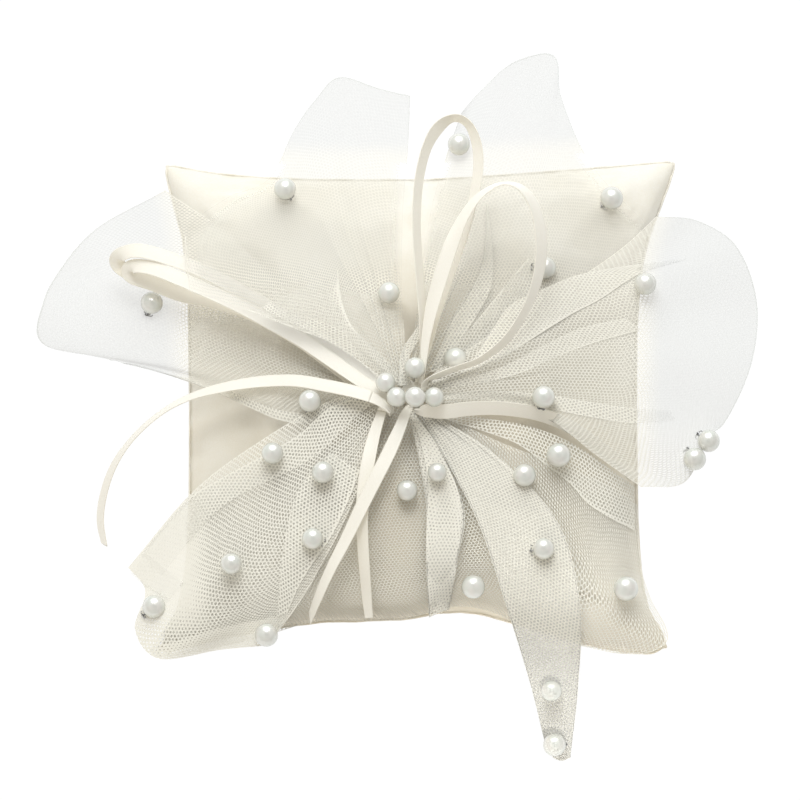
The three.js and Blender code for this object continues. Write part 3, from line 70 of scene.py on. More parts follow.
PETALS = {
    "tulle_left_petal": [
        [[-9.6,-3.4,64.0],[-30.4,13.1,64.3],[-52.4,38.2,59.4],[-76.4,66.7,49.0],[-100.4,85.3,47.1]],
        [[-10.8,-4.5,64.6],[-33.6,10.2,64.0],[-60.4,33.1,58.2],[-94.4,59.4,48.2],[-126.4,70.8,44.9]],
        [[-11.6,-5.1,64.0],[-36.0,6.6,64.4],[-67.2,25.1,58.1],[-106.4,47.2,48.8],[-142.0,53.5,43.3]],
        [[-12.4,-6.6,64.6],[-37.6,1.7,64.0],[-71.2,15.6,57.4],[-110.4,29.6,48.1],[-149.2,39.0,42.1]],
        [[-12.4,-7.7,64.0],[-37.6,-4.0,64.4],[-69.6,4.2,59.3],[-108.4,13.2,48.7],[-149.2,22.5,39.5]],
        [[-12.0,-9.0,64.2],[-34.4,-11.0,63.6],[-61.6,-7.6,61.4],[-92.4,5.0,50.0],[-120.0,13.4,44.5]],
        [[-11.6,-10.1,63.6],[-27.2,-14.9,62.8],[-44.4,-19.9,62.4],[-66.4,-11.1,58.2],[-90.4,3.5,50.7]],
    ],
    "tulle_upper_left_petal": [
        [[-10.0,-4.7,71.0],[-30.4,8.7,74.0],[-50.4,15.4,78.8],[-70.4,23.2,79.7],[-90.4,31.8,74.9]],
        [[-9.2,-4.2,72.0],[-28.4,14.7,75.0],[-49.6,29.0,77.9],[-71.2,45.0,73.6],[-91.6,58.9,70.4]],
        [[-8.4,-3.0,71.0],[-26.0,21.9,74.0],[-45.2,45.9,71.3],[-63.2,66.2,62.2],[-76.4,77.7,56.3]],
        [[-7.6,-2.2,71.0],[-23.6,28.5,71.0],[-39.2,57.9,63.9],[-50.4,78.7,53.6],[-59.2,89.6,49.4]],
        [[-6.8,-0.9,70.0],[-20.8,31.8,69.0],[-33.6,65.0,58.5],[-43.6,94.1,48.7],[-49.2,110.0,47.0]],
        [[-6.0,-0.9,71.0],[-17.2,33.4,68.0],[-27.2,70.1,56.1],[-35.6,102.4,49.1],[-40.8,124.4,44.9]],
        [[-5.2,-0.1,70.0],[-14.0,35.5,67.0],[-20.8,73.4,54.1],[-26.4,107.5,46.9],[-31.6,134.1,45.2]],
        [[-4.4,-0.4,71.0],[-10.0,36.3,67.0],[-12.8,73.7,55.5],[-14.0,105.8,49.3],[-17.2,130.4,44.8]],
        [[-3.6,-0.1,70.0],[-5.6,35.8,66.0],[-5.2,73.1,55.0],[-3.2,102.6,48.6],[-2.4,125.3,48.4]],
    ],
    "tulle_upper_right_petal": [
        [[-2.0,2.2,66.0],[1.2,35.8,66.0],[5.6,71.6,55.4],[11.6,97.4,49.0],[18.0,117.4,49.0]],
        [[-1.2,1.9,67.0],[4.8,36.2,65.0],[12.8,71.4,56.1],[21.2,101.8,48.5],[28.4,131.0,45.5]],
        [[0.0,2.2,66.0],[9.6,33.7,66.0],[21.6,72.1,54.1],[33.6,106.0,48.7],[41.6,142.6,44.0]],
        [[1.2,1.4,67.0],[15.6,32.0,65.0],[31.6,67.8,54.2],[45.6,104.3,47.5],[55.6,143.3,44.5]],
        [[2.4,1.4,66.0],[23.6,27.5,65.5],[43.6,61.2,54.8],[56.0,89.1,48.4],[58.8,124.3,45.1]],
        [[3.6,0.2,67.0],[29.6,22.7,64.8],[52.8,51.9,54.8],[67.2,75.1,49.4],[70.4,95.6,48.0]],
        [[4.4,-0.36,66],[32.8,17.46,65],[60.8,38.25,57],[83.2,55.33,51],[95.2,68.28,47]],
    ],
    "tulle_right_petal": [
        [[5.6,-1.4,67.8],[33.6,18.8,68.4],[61.6,41.0,59.0],[81.6,57.8,52.6],[96.0,72.8,49.9]],
        [[6.4,-3.1,68.8],[37.6,14.3,68.0],[69.6,39.1,57.0],[93.6,56.2,51.1],[113.6,72.3,46.5]],
        [[6.8,-4.4,67.8],[39.6,9.4,68.6],[73.6,30.4,57.7],[101.6,47.4,51.8],[128.0,61.5,46.8]],
        [[7.2,-6.0,68.8],[41.6,3.2,68.0],[77.6,20.2,56.3],[109.6,32.8,48.7],[136.4,38.4,45.0]],
        [[7.2,-7.4,67.8],[41.6,-2.6,68.6],[77.6,8.2,57.7],[109.6,13.9,50.2],[134.0,11.3,46.8]],
        [[7.2,-9.4,68.6],[41.6,-7.9,68.0],[77.6,-5.9,57.8],[105.6,-5.1,49.7],[124.0,-11.8,44.9]],
        [[6.8,-10.4,67.8],[38.4,-11.2,67.8],[69.6,-15.4,60.7],[93.6,-21.5,51.8],[116.0,-20.2,44.6]],
        [[6.4,-11.8,68.4],[33.6,-13.2,67.4],[57.6,-20.1,64.1],[81.6,-31.8,53.1],[107.2,-37.9,44.1]],
        [[6.0,-12.9,67.8],[29.6,-14.5,67.4],[51.6,-18.6,65.9],[71.6,-31.3,57.4],[89.6,-42.0,49.5]],
    ],
    "tulle_lower_skirt": [
        [[-10.4,-10.2,59.3],[-29.6,-25.8,60.0],[-50.4,-35.4,57.1],[-70.4,-40.5,51.3],[-89.2,-39.2,36.0]],
        [[-10.0,-11.1,59.3],[-32.0,-34.9,59.3],[-53.6,-53.5,54.1],[-76.4,-71.7,45.8],[-94.4,-83.7,34.2]],
        [[-9.2,-11.9,59.3],[-29.6,-42.4,58.7],[-53.2,-68.5,51.0],[-80.8,-92.0,40.7],[-104.8,-106.1,32.6]],
        [[-8.0,-12.3,59.2],[-25.6,-44.4,58.6],[-45.6,-70.3,51.2],[-61.6,-90.0,42.1],[-70.4,-101.0,32.6]],
        [[-6.4,-13.2,59.2],[-15.2,-44.5,58.8],[-26.4,-69.8,52.1],[-35.2,-86.1,43.2],[-39.2,-92.1,33.1]],
        [[-4.0,-13.6,59.1],[-4.4,-44.6,58.9],[-5.6,-69.1,52.5],[-6.8,-84.4,43.1],[-7.6,-89.5,32.6]],
        [[-1.6,-13.6,59.1],[6.8,-44.6,58.9],[15.6,-69.1,52.5],[20.8,-83.9,44.3],[23.2,-89.7,36.8]],
        [[0.8,-13.2,59.2],[17.6,-41.7,59.1],[36.8,-67.7,52.4],[51.6,-87.8,43.1],[60.0,-97.1,32.6]],
        [[2.4,-12.3,59.2],[25.6,-38.3,59.2],[52.8,-64.5,51.7],[78.4,-87.4,42.1],[99.2,-103.0,33.4]],
        [[3.6,-11.9,59.2],[29.6,-33.3,59.5],[56.0,-50.3,53.6],[76.0,-64.6,46.1],[90.4,-73.9,35.4]],
        [[4.8,-11.1,59.3],[31.6,-25.8,59.9],[57.6,-34.6,55.0],[75.6,-40.6,47.9],[88.4,-44.8,36.0]],
    ],
    "tulle_lower_left_petal": [
        [[-12.8,-9.3,65.0],[-32.4,-10.3,65.2],[-61.6,-26.7,62.3],[-88.4,-43.1,49.0],[-114.8,-71.9,38.0]],
        [[-12.0,-10.4,64.4],[-32.4,-19.5,63.6],[-60.4,-42.2,58.2],[-85.6,-62.4,46.0],[-108.0,-81.3,37.0]],
        [[-11.6,-11.5,65.0],[-31.2,-27.0,63.4],[-57.6,-56.6,56.9],[-84.4,-83.1,47.8],[-112.0,-96.7,36.0]],
        [[-11.2,-12.0,64.2],[-28.4,-33.3,63.1],[-52.4,-64.8,56.0],[-76.4,-93.1,46.0],[-102.4,-109.2,36.5]],
        [[-10.4,-12.6,64.6],[-25.6,-38.7,62.7],[-44.4,-69.0,55.7],[-63.2,-93.4,44.4],[-77.6,-105.6,37.0]],
        [[-9.6,-13.2,64.0],[-21.6,-43.7,62.3],[-32.4,-67.3,56.9],[-46.4,-89.0,46.6],[-59.2,-104.0,37.5]],
    ],
    "tulle_folded_strip": [
        [[-2.8,-15.0,61.8],[0.8,-33.2,62.6],[4.0,-53.6,60.3],[4.0,-74.7,53.9],[5.2,-92.5,38.5]],
        [[-1.6,-15.3,62.6],[5.6,-33.5,63.5],[11.6,-53.9,61.2],[10.8,-75.0,54.8],[9.2,-91.9,39.2]],
        [[-0.4,-15.0,61.8],[9.6,-34.0,62.7],[19.2,-55.5,59.6],[16.4,-74.7,54.0],[13.2,-90.8,38.5]],
    ],
    "tulle_hanging_tail": [
        [[0.8,-14.8,61.4],[12.0,-35.3,62.7],[25.2,-61.2,57.9],[35.2,-88.9,46.2],[45.2,-113.8,21.0],[52.0,-136.5,4.0]],
        [[1.6,-14.7,62.2],[18.0,-33.6,63.8],[36.0,-61.4,58.3],[46.0,-89.4,47.5],[52.0,-114.3,22.5],[54.4,-140.2,4.6]],
        [[2.4,-14.0,61.4],[24.0,-31.9,62.8],[46.0,-58.9,57.3],[56.0,-89.6,48.1],[58.8,-114.7,23.5],[58.0,-141.7,4.2]],
        [[3.2,-13.6,61.6],[30.4,-31.8,62.5],[56.0,-58.2,55.4],[65.2,-89.5,47.9],[64.8,-114.1,22.0],[61.6,-140.4,4.0]],
    ],
}
FOLDS = {
    "tulle_upper_left_petal": [
        [[[-4.4,-6.0,69.8],[-12.0,4.0,71.6],[-20.0,11.3,73.7],[-25.6,17.4,74.5],[-28.8,25.3,73.8],[-30.4,33.7,72.0],[-31.2,43.7,67.9]],[[-12.0,-6.6,70.3],[-19.2,0.1,71.8],[-28.4,6.8,73.4],[-37.6,11.9,75.6],[-46.4,15.8,77.9],[-54.4,19.2,78.9],[-61.6,23.3,79.5]],1],
        [[[-6.4,-6.9,71.0],[-6.8,0.0,70.9],[-6.4,5.4,70.0],[-4.8,11.0,68.8],[-2.0,15.1,69.1],[1.6,21.5,68.1],[4.0,31.2,67.0]],[[-2.0,-5.0,68.2],[-3.2,0.3,70.1],[-2.4,6.6,69.1],[0.4,12.2,69.0],[3.6,17.7,69.0],[5.6,25.9,67.5],[6.8,33.5,66.5]],2],
    ],
    "tulle_upper_right_petal": [
        [[[5.6,0.9,66.2],[10.0,12.3,66.4],[14.4,22.2,66.2],[18.8,29.8,65.0],[23.2,39.1,62.8],[26.8,50.0,59.8],[28.0,63.1,55.3],[28.0,77.1,52.1]],[[8.4,1.1,65.5],[15.6,11.0,66.5],[20.8,18.7,66.4],[25.6,27.4,65.7],[29.6,36.8,63.5],[30.8,48.6,60.2],[30.0,63.0,55.6],[28.8,77.1,52.2]],2],
        [[[7.2,0.2,65.7],[16.0,12.0,66.1],[23.2,21.5,65.7],[30.4,31.6,63.6],[37.6,42.4,59.7],[44.8,53.2,55.9]],[[8.8,-1.3,65.1],[20.0,8.1,65.1],[28.8,15.8,64.9],[36.8,24.1,63.2],[44.8,33.9,59.8],[52.0,45.4,56.1]],1],
    ],
    "tulle_right_petal": [
        [[[5.6,-6.7,68.3],[17.6,-5.1,68.6],[25.6,-0.2,69.1],[33.6,4.9,69.1],[43.6,12.3,67.5],[53.6,20.1,64.8],[63.6,28.2,60.2],[73.6,35.0,56.7],[89.6,47.3,53.3],[108.4,54.8,50.1]],[[6.4,-3.4,68.6],[15.6,-1.6,68.4],[21.6,4.1,69.1],[27.2,12.2,69.0],[32.4,21.1,69.2],[38.4,29.1,68.1],[50.8,37.2,63.5],[63.6,44.6,58.4],[78.4,49.6,54.0],[95.6,53.0,51.7]],2],
        [[[6.4,-8.3,68.1],[21.6,-5.6,68.7],[40.4,-0.9,68.6],[57.6,9.2,63.1],[73.6,17.1,57.8],[89.6,23.4,53.3]],[[6.4,-7.4,67.8],[20.8,-3.1,69.0],[36.8,3.4,68.7],[51.6,13.1,65.3],[66.4,21.8,60.2],[83.6,27.9,55.0]],1],
        [[[5.6,-11.9,68.4],[15.6,-11.4,68.3],[26.8,-11.7,68.0],[40.4,-12.7,67.2],[53.6,-14.4,64.9],[69.6,-16.3,60.8],[86.8,-16.7,54.7],[103.6,-13.1,49.5]],[[6.4,-10.0,68.0],[17.6,-8.6,68.8],[29.6,-8.2,69.0],[41.6,-8.3,67.9],[55.6,-8.8,64.6],[69.6,-9.8,60.4],[85.6,-10.5,55.4],[101.6,-9.6,50.4]],1],
    ],
    "tulle_lower_skirt": [
        [[[3.2,-11.9,59.3],[13.6,-17.5,59.5],[26.8,-22.2,60.5],[40.4,-27.3,59.4],[52.4,-35.4,55.8],[61.6,-42.1,53.3],[68.4,-49.3,50.9],[77.6,-54.1,46.6],[87.2,-56.2,38.3]],[[4.4,-11.1,59.3],[17.6,-14.6,60.7],[29.6,-17.6,62.1],[41.6,-19.8,62.2],[54.4,-23.3,60.0],[65.6,-28.0,56.7],[73.6,-32.6,53.0],[80.8,-36.5,48.3],[87.2,-38.8,41.8]],1],
    ],
    "tulle_hanging_tail": [
        [[[0.8,-15.2,61.3],[6.8,-28.1,62.7],[13.6,-39.4,62.3],[18.8,-47.5,61.2],[24.8,-56.3,59.4],[29.2,-63.2,57.5],[33.6,-75.8,53.4],[38.0,-93.2,42.8],[42.8,-107.5,27.1],[47.6,-122.1,14.5]],[[1.6,-15.1,62.0],[10.0,-27.1,63.4],[17.2,-37.1,63.0],[23.2,-45.3,62.0],[29.2,-54.0,60.3],[33.6,-62.1,58.0],[38.4,-75.9,53.8],[42.4,-93.4,43.4],[46.8,-107.8,27.9],[50.8,-122.4,15.5]],2],
    ],
    "tulle_lower_left_petal": [
        [[[-22.4,-39.6,62.8],[-25.6,-48.5,61.4],[-29.6,-57.6,59.7],[-34.0,-66.1,57.2],[-40.4,-74.6,53.8],[-46.4,-83.0,49.8],[-50.4,-90.8,45.6],[-53.2,-98.2,41.4]],[[-34.4,-31.9,62.6],[-41.2,-39.0,61.2],[-46.4,-46.1,59.7],[-50.4,-56.9,57.7],[-52.8,-69.5,54.9],[-54.0,-78.2,52.0],[-54.8,-87.3,47.5],[-56.0,-96.8,42.2]],1],
        [[[-12.8,-9.7,64.8],[-22.8,-9.8,65.1],[-34.0,-13.5,64.7],[-40.4,-18.7,63.8],[-46.4,-24.3,62.9],[-58.4,-31.4,61.2],[-70.4,-36.7,57.3],[-80.4,-40.8,52.1],[-89.6,-45.3,48.2],[-100.4,-56.0,43.6],[-109.6,-66.7,40.0]],[[-12.0,-10.4,64.4],[-20.4,-14.6,64.3],[-28.4,-22.1,63.9],[-35.2,-29.4,62.8],[-44.4,-36.0,61.1],[-54.4,-40.9,59.2],[-65.2,-44.9,56.4],[-75.2,-49.9,52.4],[-83.2,-55.5,47.9],[-92.8,-65.7,43.4],[-101.6,-76.2,39.4]],1],
        [[[-113.6,-74.3,37.6],[-109.6,-78.0,37.2],[-104.8,-81.6,37.9],[-98.4,-86.3,42.4]],[[-108.0,-66.3,40.2],[-103.2,-70.5,40.1],[-98.4,-74.5,40.5],[-92.8,-80.2,44.4]],1],
    ],
    "tulle_folded_strip": [
        [[[-2.4,-15.9,62.0],[1.6,-27.0,63.2],[4.8,-43.7,62.3],[4.4,-57.6,59.5],[4.0,-69.9,56.1],[4.8,-83.0,47.4],[5.6,-91.2,39.6]],[[-0.8,-15.5,62.0],[7.2,-26.9,62.9],[15.2,-43.5,61.9],[18.0,-54.3,59.9],[17.6,-65.4,57.8],[15.6,-79.8,50.3],[12.8,-90.4,38.7]],1],
    ],
    "tulle_left_petal": [
        [[[-11.6,-10.1,63.6],[-20.4,-9.9,64.1],[-28.4,-12.2,63.5],[-36.4,-16.2,62.9],[-44.4,-19.4,62.4],[-54.4,-17.6,60.7],[-64.4,-12.5,58.4],[-74.4,-6.5,56.0]],[[-11.6,-9.0,64.2],[-20.4,-7.8,64.2],[-28.4,-9.5,64.2],[-36.4,-12.5,63.3],[-44.4,-15.4,62.9],[-54.4,-13.7,61.7],[-64.4,-9.0,59.4],[-73.6,-3.4,57.0]],1],
    ],
}
STUDS = [
    ["01","tulle_upper_left_petal",8.8,[-52.4,82.04,57.21],[-0.357,0.372,0.857]],
    ["02","tulle_upper_right_petal",9.2,[78.4,80.28,51.53],[0.621,0.419,0.662]],
    ["03","tulle_upper_right_petal",9.0,[17.2,102.77,52.88],[-0.14,-0.061,0.988]],
    ["04","tulle_upper_right_petal",9.0,[51.6,47.95,58.5],[0.912,-0.14,0.385]],
    ["05","tulle_right_petal",9.0,[91.6,41.06,58.7],[-0.0,0.085,0.996]],
    ["06","tulle_left_petal",9.0,[-105.6,35.35,52.18],[0.281,0.634,0.721]],
    ["07","tulle_upper_left_petal",8.6,[-10.8,32.04,72.96],[-0.0,-0.054,0.999]],
    ["08","tulle_upper_right_petal",9.2,[15.6,5.74,68.01],[-0.759,-0.017,0.651]],
    ["09","tulle_right_petal",9.2,[50.8,-11.15,70.0],[0.138,0.495,0.858]],
    ["10","tulle_lower_skirt",9.8,[56.8,-32.68,61.32],[-0.0,-0.084,0.997]],
    ["11","tulle_lower_skirt",9.2,[43.2,-41.04,60.9],[0.69,0.186,0.7]],
    ["12","tulle_left_petal",9.0,[-42.4,-12.03,67.73],[0.14,0.333,0.933]],
    ["13","tulle_lower_left_petal",8.6,[-57.2,-33.31,65.39],[-0.0,-0.054,0.999]],
    ["14","tulle_lower_left_petal",8.8,[-37.2,-41.67,66.12],[-0.0,-0.059,0.998]],
    ["15","tulle_lower_skirt",8.4,[-3.6,-48.19,62.99],[-0.0,-0.048,0.999]],
    ["16","tulle_folded_strip",7.6,[8.4,-41.97,66.96],[-0.0,-0.023,1.0]],
    ["17","tulle_lower_left_petal",8.6,[-41.2,-67.3,59.35],[-0.8,0.014,0.6]],
    ["18","tulle_lower_left_petal",8.6,[-73.6,-76.69,55.91],[-0.218,0.032,0.975]],
    ["19","tulle_lower_left_petal",9.4,[-104.4,-89.36,40.43],[0.714,0.434,0.549]],
    ["20","tulle_lower_left_petal",9.4,[-59.6,-102.44,43.62],[-0.0,-0.003,1.0]],
    ["21","tulle_lower_skirt",9.4,[22.8,-84.2,49.67],[-0.0,-0.074,0.997]],
    ["22","tulle_lower_skirt",9.8,[83.6,-84.15,47.18],[-0.0,-0.084,0.997]],
    ["23","tulle_hanging_tail",8.6,[50.8,-70.65,56.86],[0.919,0.007,0.394]],
    ["24","tulle_hanging_tail",8.4,[54.0,-119.09,23.9],[-0.0,-0.048,0.999]],
    ["25","tulle_hanging_tail",9.2,[55.2,-137.64,11.68],[-0.69,-0.311,0.654]],
    ["26","tulle_right_petal",9.2,[111.2,-29.32,47.41],[0.552,-0.774,0.311]],
    ["27","tulle_right_petal",9.0,[116.8,-21.57,47.15],[0.772,-0.6,0.211]],
]
CLUSTER = [["cluster_pearl_middle",[-0.4,-14.87,80.2],8.4],["cluster_pearl_left",[-7.8,-13.41,76.2],8.0],["cluster_pearl_top",[-0.4,-0.85,75.6],8.6],["cluster_pearl_upper_left",[-12.2,-6.87,75.2],8.0],["cluster_pearl_right",[7.2,-12.75,74.4],8.0]]
NET_SHADE = 0.24
ACCENT = 22.0
FLOOR_GLOW, FLOOR_BASE = 0.96, 0.07
WORLD = (1.0, 0.977, 0.935, 0.42)
CARD = (0.42, 1.0)   # radius and distance of the dark card, metres
LIGHTS = [("key", (0.0, 1.15, 1.25), 2.1, 21.5, (0.955, 0.985, 1.0)), ("top", (-0.1, 0.62, 1.45), 0.6, 4.0, (0.965, 0.985, 1.0)), ("fill", (-1.1, -0.6, 1.0), 1.2, 1.6, (1.0, 0.95, 0.86)), ("front", (-0.5, -1.3, 0.7), 1.4, 4.2, (1.0, 0.935, 0.80))]

# ------------------------------------------------------------------ camera: nearly parallel view, 70 degrees above the table
ELEV = math.radians(70)
BACK = Vector((0, -math.cos(ELEV), math.sin(ELEV)))
LENS, WIDE = 1200.0, 0.320
AIM = Vector((-0.0064, 0.0021, 0.030))
cam = bpy.data.objects.new("camera", bpy.data.cameras.new("camera"))
scene.collection.objects.link(cam)
cam.data.sensor_width = 36
cam.data.lens = LENS
cam.data.clip_start, cam.data.clip_end = 0.1, 60
cam.location = AIM + BACK * (WIDE * LENS / 36)
cam.rotation_mode = "QUATERNION"
cam.rotation_quaternion = (-BACK).to_track_quat("-Z", "Y")
scene.camera = cam
scene.view_settings.view_transform = "Standard"
scene.view_settings.look = "None"
scene.cycles.transparent_max_bounces = 40
scene.cycles.use_denoising = True


# ------------------------------------------------------------------ helpers
def catmull(points, n):
    """n + 1 points on a smooth curve through the points, evenly in its parameter."""
    P = np.asarray(points, float)
    m = len(P)
    t = np.linspace(0, m - 1, n + 1)
    i = np.minimum(t.astype(int), m - 2)
    f = (t - i).reshape((-1,) + (1,) * (P.ndim - 1))
    Q = np.concatenate([2 * P[:1] - P[1:2], P, 2 * P[-1:] - P[-2:-1]])
    p0, p1, p2, p3 = Q[i], Q[i + 1], Q[i + 2], Q[i + 3]
    return 0.5 * (2 * p1 + (-p0 + p2) * f + (2 * p0 - 5 * p1 + 4 * p2 - p3) * f**2 + (-p0 + 3 * p1 - 3 * p2 + p3) * f**3)


def smooth(t):
    t = np.clip(t, 0, 1)
    return t * t * (3 - 2 * t)


def unit(v):
    v = np.asarray(v, float)
    return v / np.maximum(np.linalg.norm(v, axis=-1, keepdims=True), 1e-12)


def make(name, verts, faces, material=None, uv=None, attrs=None, mm=True, flat=False):
    """A mesh object from points in millimetres. uv is one pair a vertex."""
    me = bpy.data.meshes.new(name)
    v = np.asarray(verts, float) * (MM if mm else 1)
    me.from_pydata(v.tolist(), [], [list(map(int, f)) for f in faces])
    me.update()
    if uv is not None:
        layer = me.uv_layers.new(name="UVMap")
        idx = np.zeros(len(me.loops), np.int32)
        me.loops.foreach_get("vertex_index", idx)
        layer.data.foreach_set("uv", np.asarray(uv, np.float32)[idx].ravel())
    for key, values in (attrs or {}).items():
        a = me.attributes.new(key, "FLOAT", "POINT")
        a.data.foreach_set("value", np.asarray(values, np.float32).ravel())
    me.shade_flat() if flat else me.shade_smooth()
    o = bpy.data.objects.new(name, me)
    scene.collection.objects.link(o)
    if material:
        me.materials.append(material)
    return o


def grid_faces(nr, nc, base=0, wrap=False, flip=False):
    """Quads of a grid of nr rows by nc columns of points."""
    f = []
    for i in range(nr - 1):
        for j in range(nc if wrap else nc - 1):
            a, b = base + i * nc + j, base + i * nc + (j + 1) % nc
            c, d = b + nc, a + nc
            f.append((a, d, c, b) if flip else (a, b, c, d))
    return f


def rail(points, step=1.0):
    P = np.asarray(points, float)
    d = np.concatenate([[0], np.cumsum(np.linalg.norm(np.diff(P, axis=0), axis=1))])
    return d


# ------------------------------------------------------------------ materials
class Nodes:
    """Short-hand for building one material."""

    def __init__(self, name):
        self.m = bpy.data.materials.new(name)
        self.m.use_nodes = True
        self.t = self.m.node_tree
        self.t.nodes.clear()
        self.out = self.t.nodes.new("ShaderNodeOutputMaterial")
        self.b = self.t.nodes.new("ShaderNodeBsdfPrincipled")
        self.t.links.new(self.b.outputs[0], self.out.inputs[0])

    def n(self, kind, **props):
        node = self.t.nodes.new("ShaderNode" + kind)
        for k, v in props.items():
            setattr(node, k, v)
        return node

    def link(self, a, b):
        self.t.links.new(a, b)

    def put(self, socket, value):
        if isinstance(value, bpy.types.NodeSocket):
            self.link(value, socket)
        elif value is not None:
            socket.default_value = value

    def math(self, op, a, b=None, c=None, clamp=False):
        node = self.n("Math", operation=op, use_clamp=clamp)
        for i, v in enumerate((a, b, c)):
            if v is not None:
                self.put(node.inputs[i], v)
        return node.outputs[0]

    def vec(self, op, a, b=None, out=0):
        node = self.n("VectorMath", operation=op)
        self.put(node.inputs[0], a)
        if b is not None:
            self.put(node.inputs["Scale"] if op == "SCALE" else node.inputs[1], b)
        return node.outputs["Value"] if op in ("DOT_PRODUCT", "LENGTH") else node.outputs[out]

    def noise(self, vector, scale, detail=2.0, rough=0.5, out="Fac"):
        node = self.n("TexNoise")
        self.put(node.inputs["Vector"], vector)
        node.inputs["Scale"].default_value = scale
        node.inputs["Detail"].default_value = detail
        node.inputs["Roughness"].default_value = rough
        return node.outputs[out]

    def ramp(self, fac, *stops):
        node = self.n("ValToRGB")
        self.put(node.inputs[0], fac)
        e = node.color_ramp.elements
        while len(e) < len(stops):
            e.new(0.5)
        for k, (p, c) in zip(e, stops):
            k.position = p
            k.color = (*c, 1) if len(c) == 3 else c
        return node.outputs[0]

    def span(self, value, a, b, c=0.0, d=1.0, kind="LINEAR"):
        node = self.n("MapRange", interpolation_type=kind)
        for i, v in enumerate((value, a, b, c, d)):
            self.put(node.inputs[i], v)
        return node.outputs[0]

    def mix(self, fac, a, b, kind="RGBA", blend="MIX"):
        node = self.n("Mix", data_type=kind)
        if kind == "RGBA":
            node.blend_type = blend
        k = {"RGBA": (6, 7, 2), "VECTOR": (4, 5, 1), "FLOAT": (2, 3, 0)}[kind]
        self.put(node.inputs[0], fac)
        self.put(node.inputs[k[0]], a)
        self.put(node.inputs[k[1]], b)
        return node.outputs[k[2]]

    def bump(self, height, strength, distance, normal=None):
        node = self.n("Bump")
        node.inputs["Strength"].default_value = strength
        node.inputs["Distance"].default_value = distance
        self.put(node.inputs["Height"], height)
        if normal:
            self.put(node.inputs["Normal"], normal)
        return node.outputs[0]

    def set(self, **values):
        for k, v in values.items():
            self.put(self.b.inputs[k.replace("_", " ")], v)
        return self.m


def srgb(r, g, b):
    f = lambda c: (c / 255 / 12.92) if c <= 10 else ((c / 255 + 0.055) / 1.055) ** 2.4
    return (f(r), f(g), f(b), 1.0)


def satin_cover():
    """Ivory bridal satin: fine weave, long soft floats, slight change of shade over the cloth at random, and a painted
    warm shade round the middle and towards the lower edge.
    """
    k = Nodes("ivory_satin")
    pos = k.n("TexCoord").outputs["Object"]
    warp = k.n("Mapping")
    k.put(warp.inputs["Vector"], pos)
    warp.inputs["Scale"].default_value = (900, 5200, 2600)
    weft = k.n("Mapping")
    k.put(weft.inputs["Vector"], pos)
    weft.inputs["Scale"].default_value = (5200, 700, 2600)
    a = k.noise(warp.outputs[0], 1.0, 2.0)
    b = k.noise(weft.outputs[0], 1.0, 2.0)
    weave = k.math("ADD", k.math("MULTIPLY", a, 0.6), k.math("MULTIPLY", b, 0.4))
    cloud = k.noise(pos, 38, 3.0)
    grain = k.noise(pos, 900, 2.0)
    tone = k.math("ADD", k.math("MULTIPLY", cloud, 0.45), k.math("MULTIPLY", weave, 0.55))
    col = k.ramp(tone, (0.25, srgb(*SATIN_DARK)[:3]), (0.75, srgb(*SATIN_LIGHT)[:3]))
    # painted shade: the satin is darkened to a warm tan round the middle, where the nets cover it, and towards the
    # lower edge
    satin_painted_shade = k.span(k.vec("LENGTH", k.vec("SUBTRACT", pos, (0.010, -0.032, 0.03))), 0.025, 0.112, 1.0, 0.0, "SMOOTHSTEP")
    apart = k.n("SeparateXYZ")
    k.put(apart.inputs[0], pos)
    satin_painted_shade = k.math("MAXIMUM", satin_painted_shade, k.span(apart.outputs[1], -0.060, -0.100, 0.0, 0.62, "SMOOTHSTEP"))
    col = k.mix(satin_painted_shade, col, k.mix(1.0, col, (0.85, 0.80, 0.71, 1.0), blend="MULTIPLY"))
    bump = k.bump(k.noise(pos, 55, 1.0), 0.30, 0.0035)
    bump = k.bump(weave, 0.10, 0.0004, bump)
    bump = k.bump(grain, 0.04, 0.0006, bump)
    return k.set(Base_Color=col, Roughness=k.span(weave, 0.2, 0.8, 0.40, 0.52), Normal=bump, Sheen_Weight=0.25, Sheen_Roughness=0.35,
                 Sheen_Tint=srgb(255, 250, 236), Specular_IOR_Level=0.45, Anisotropic=0.3)


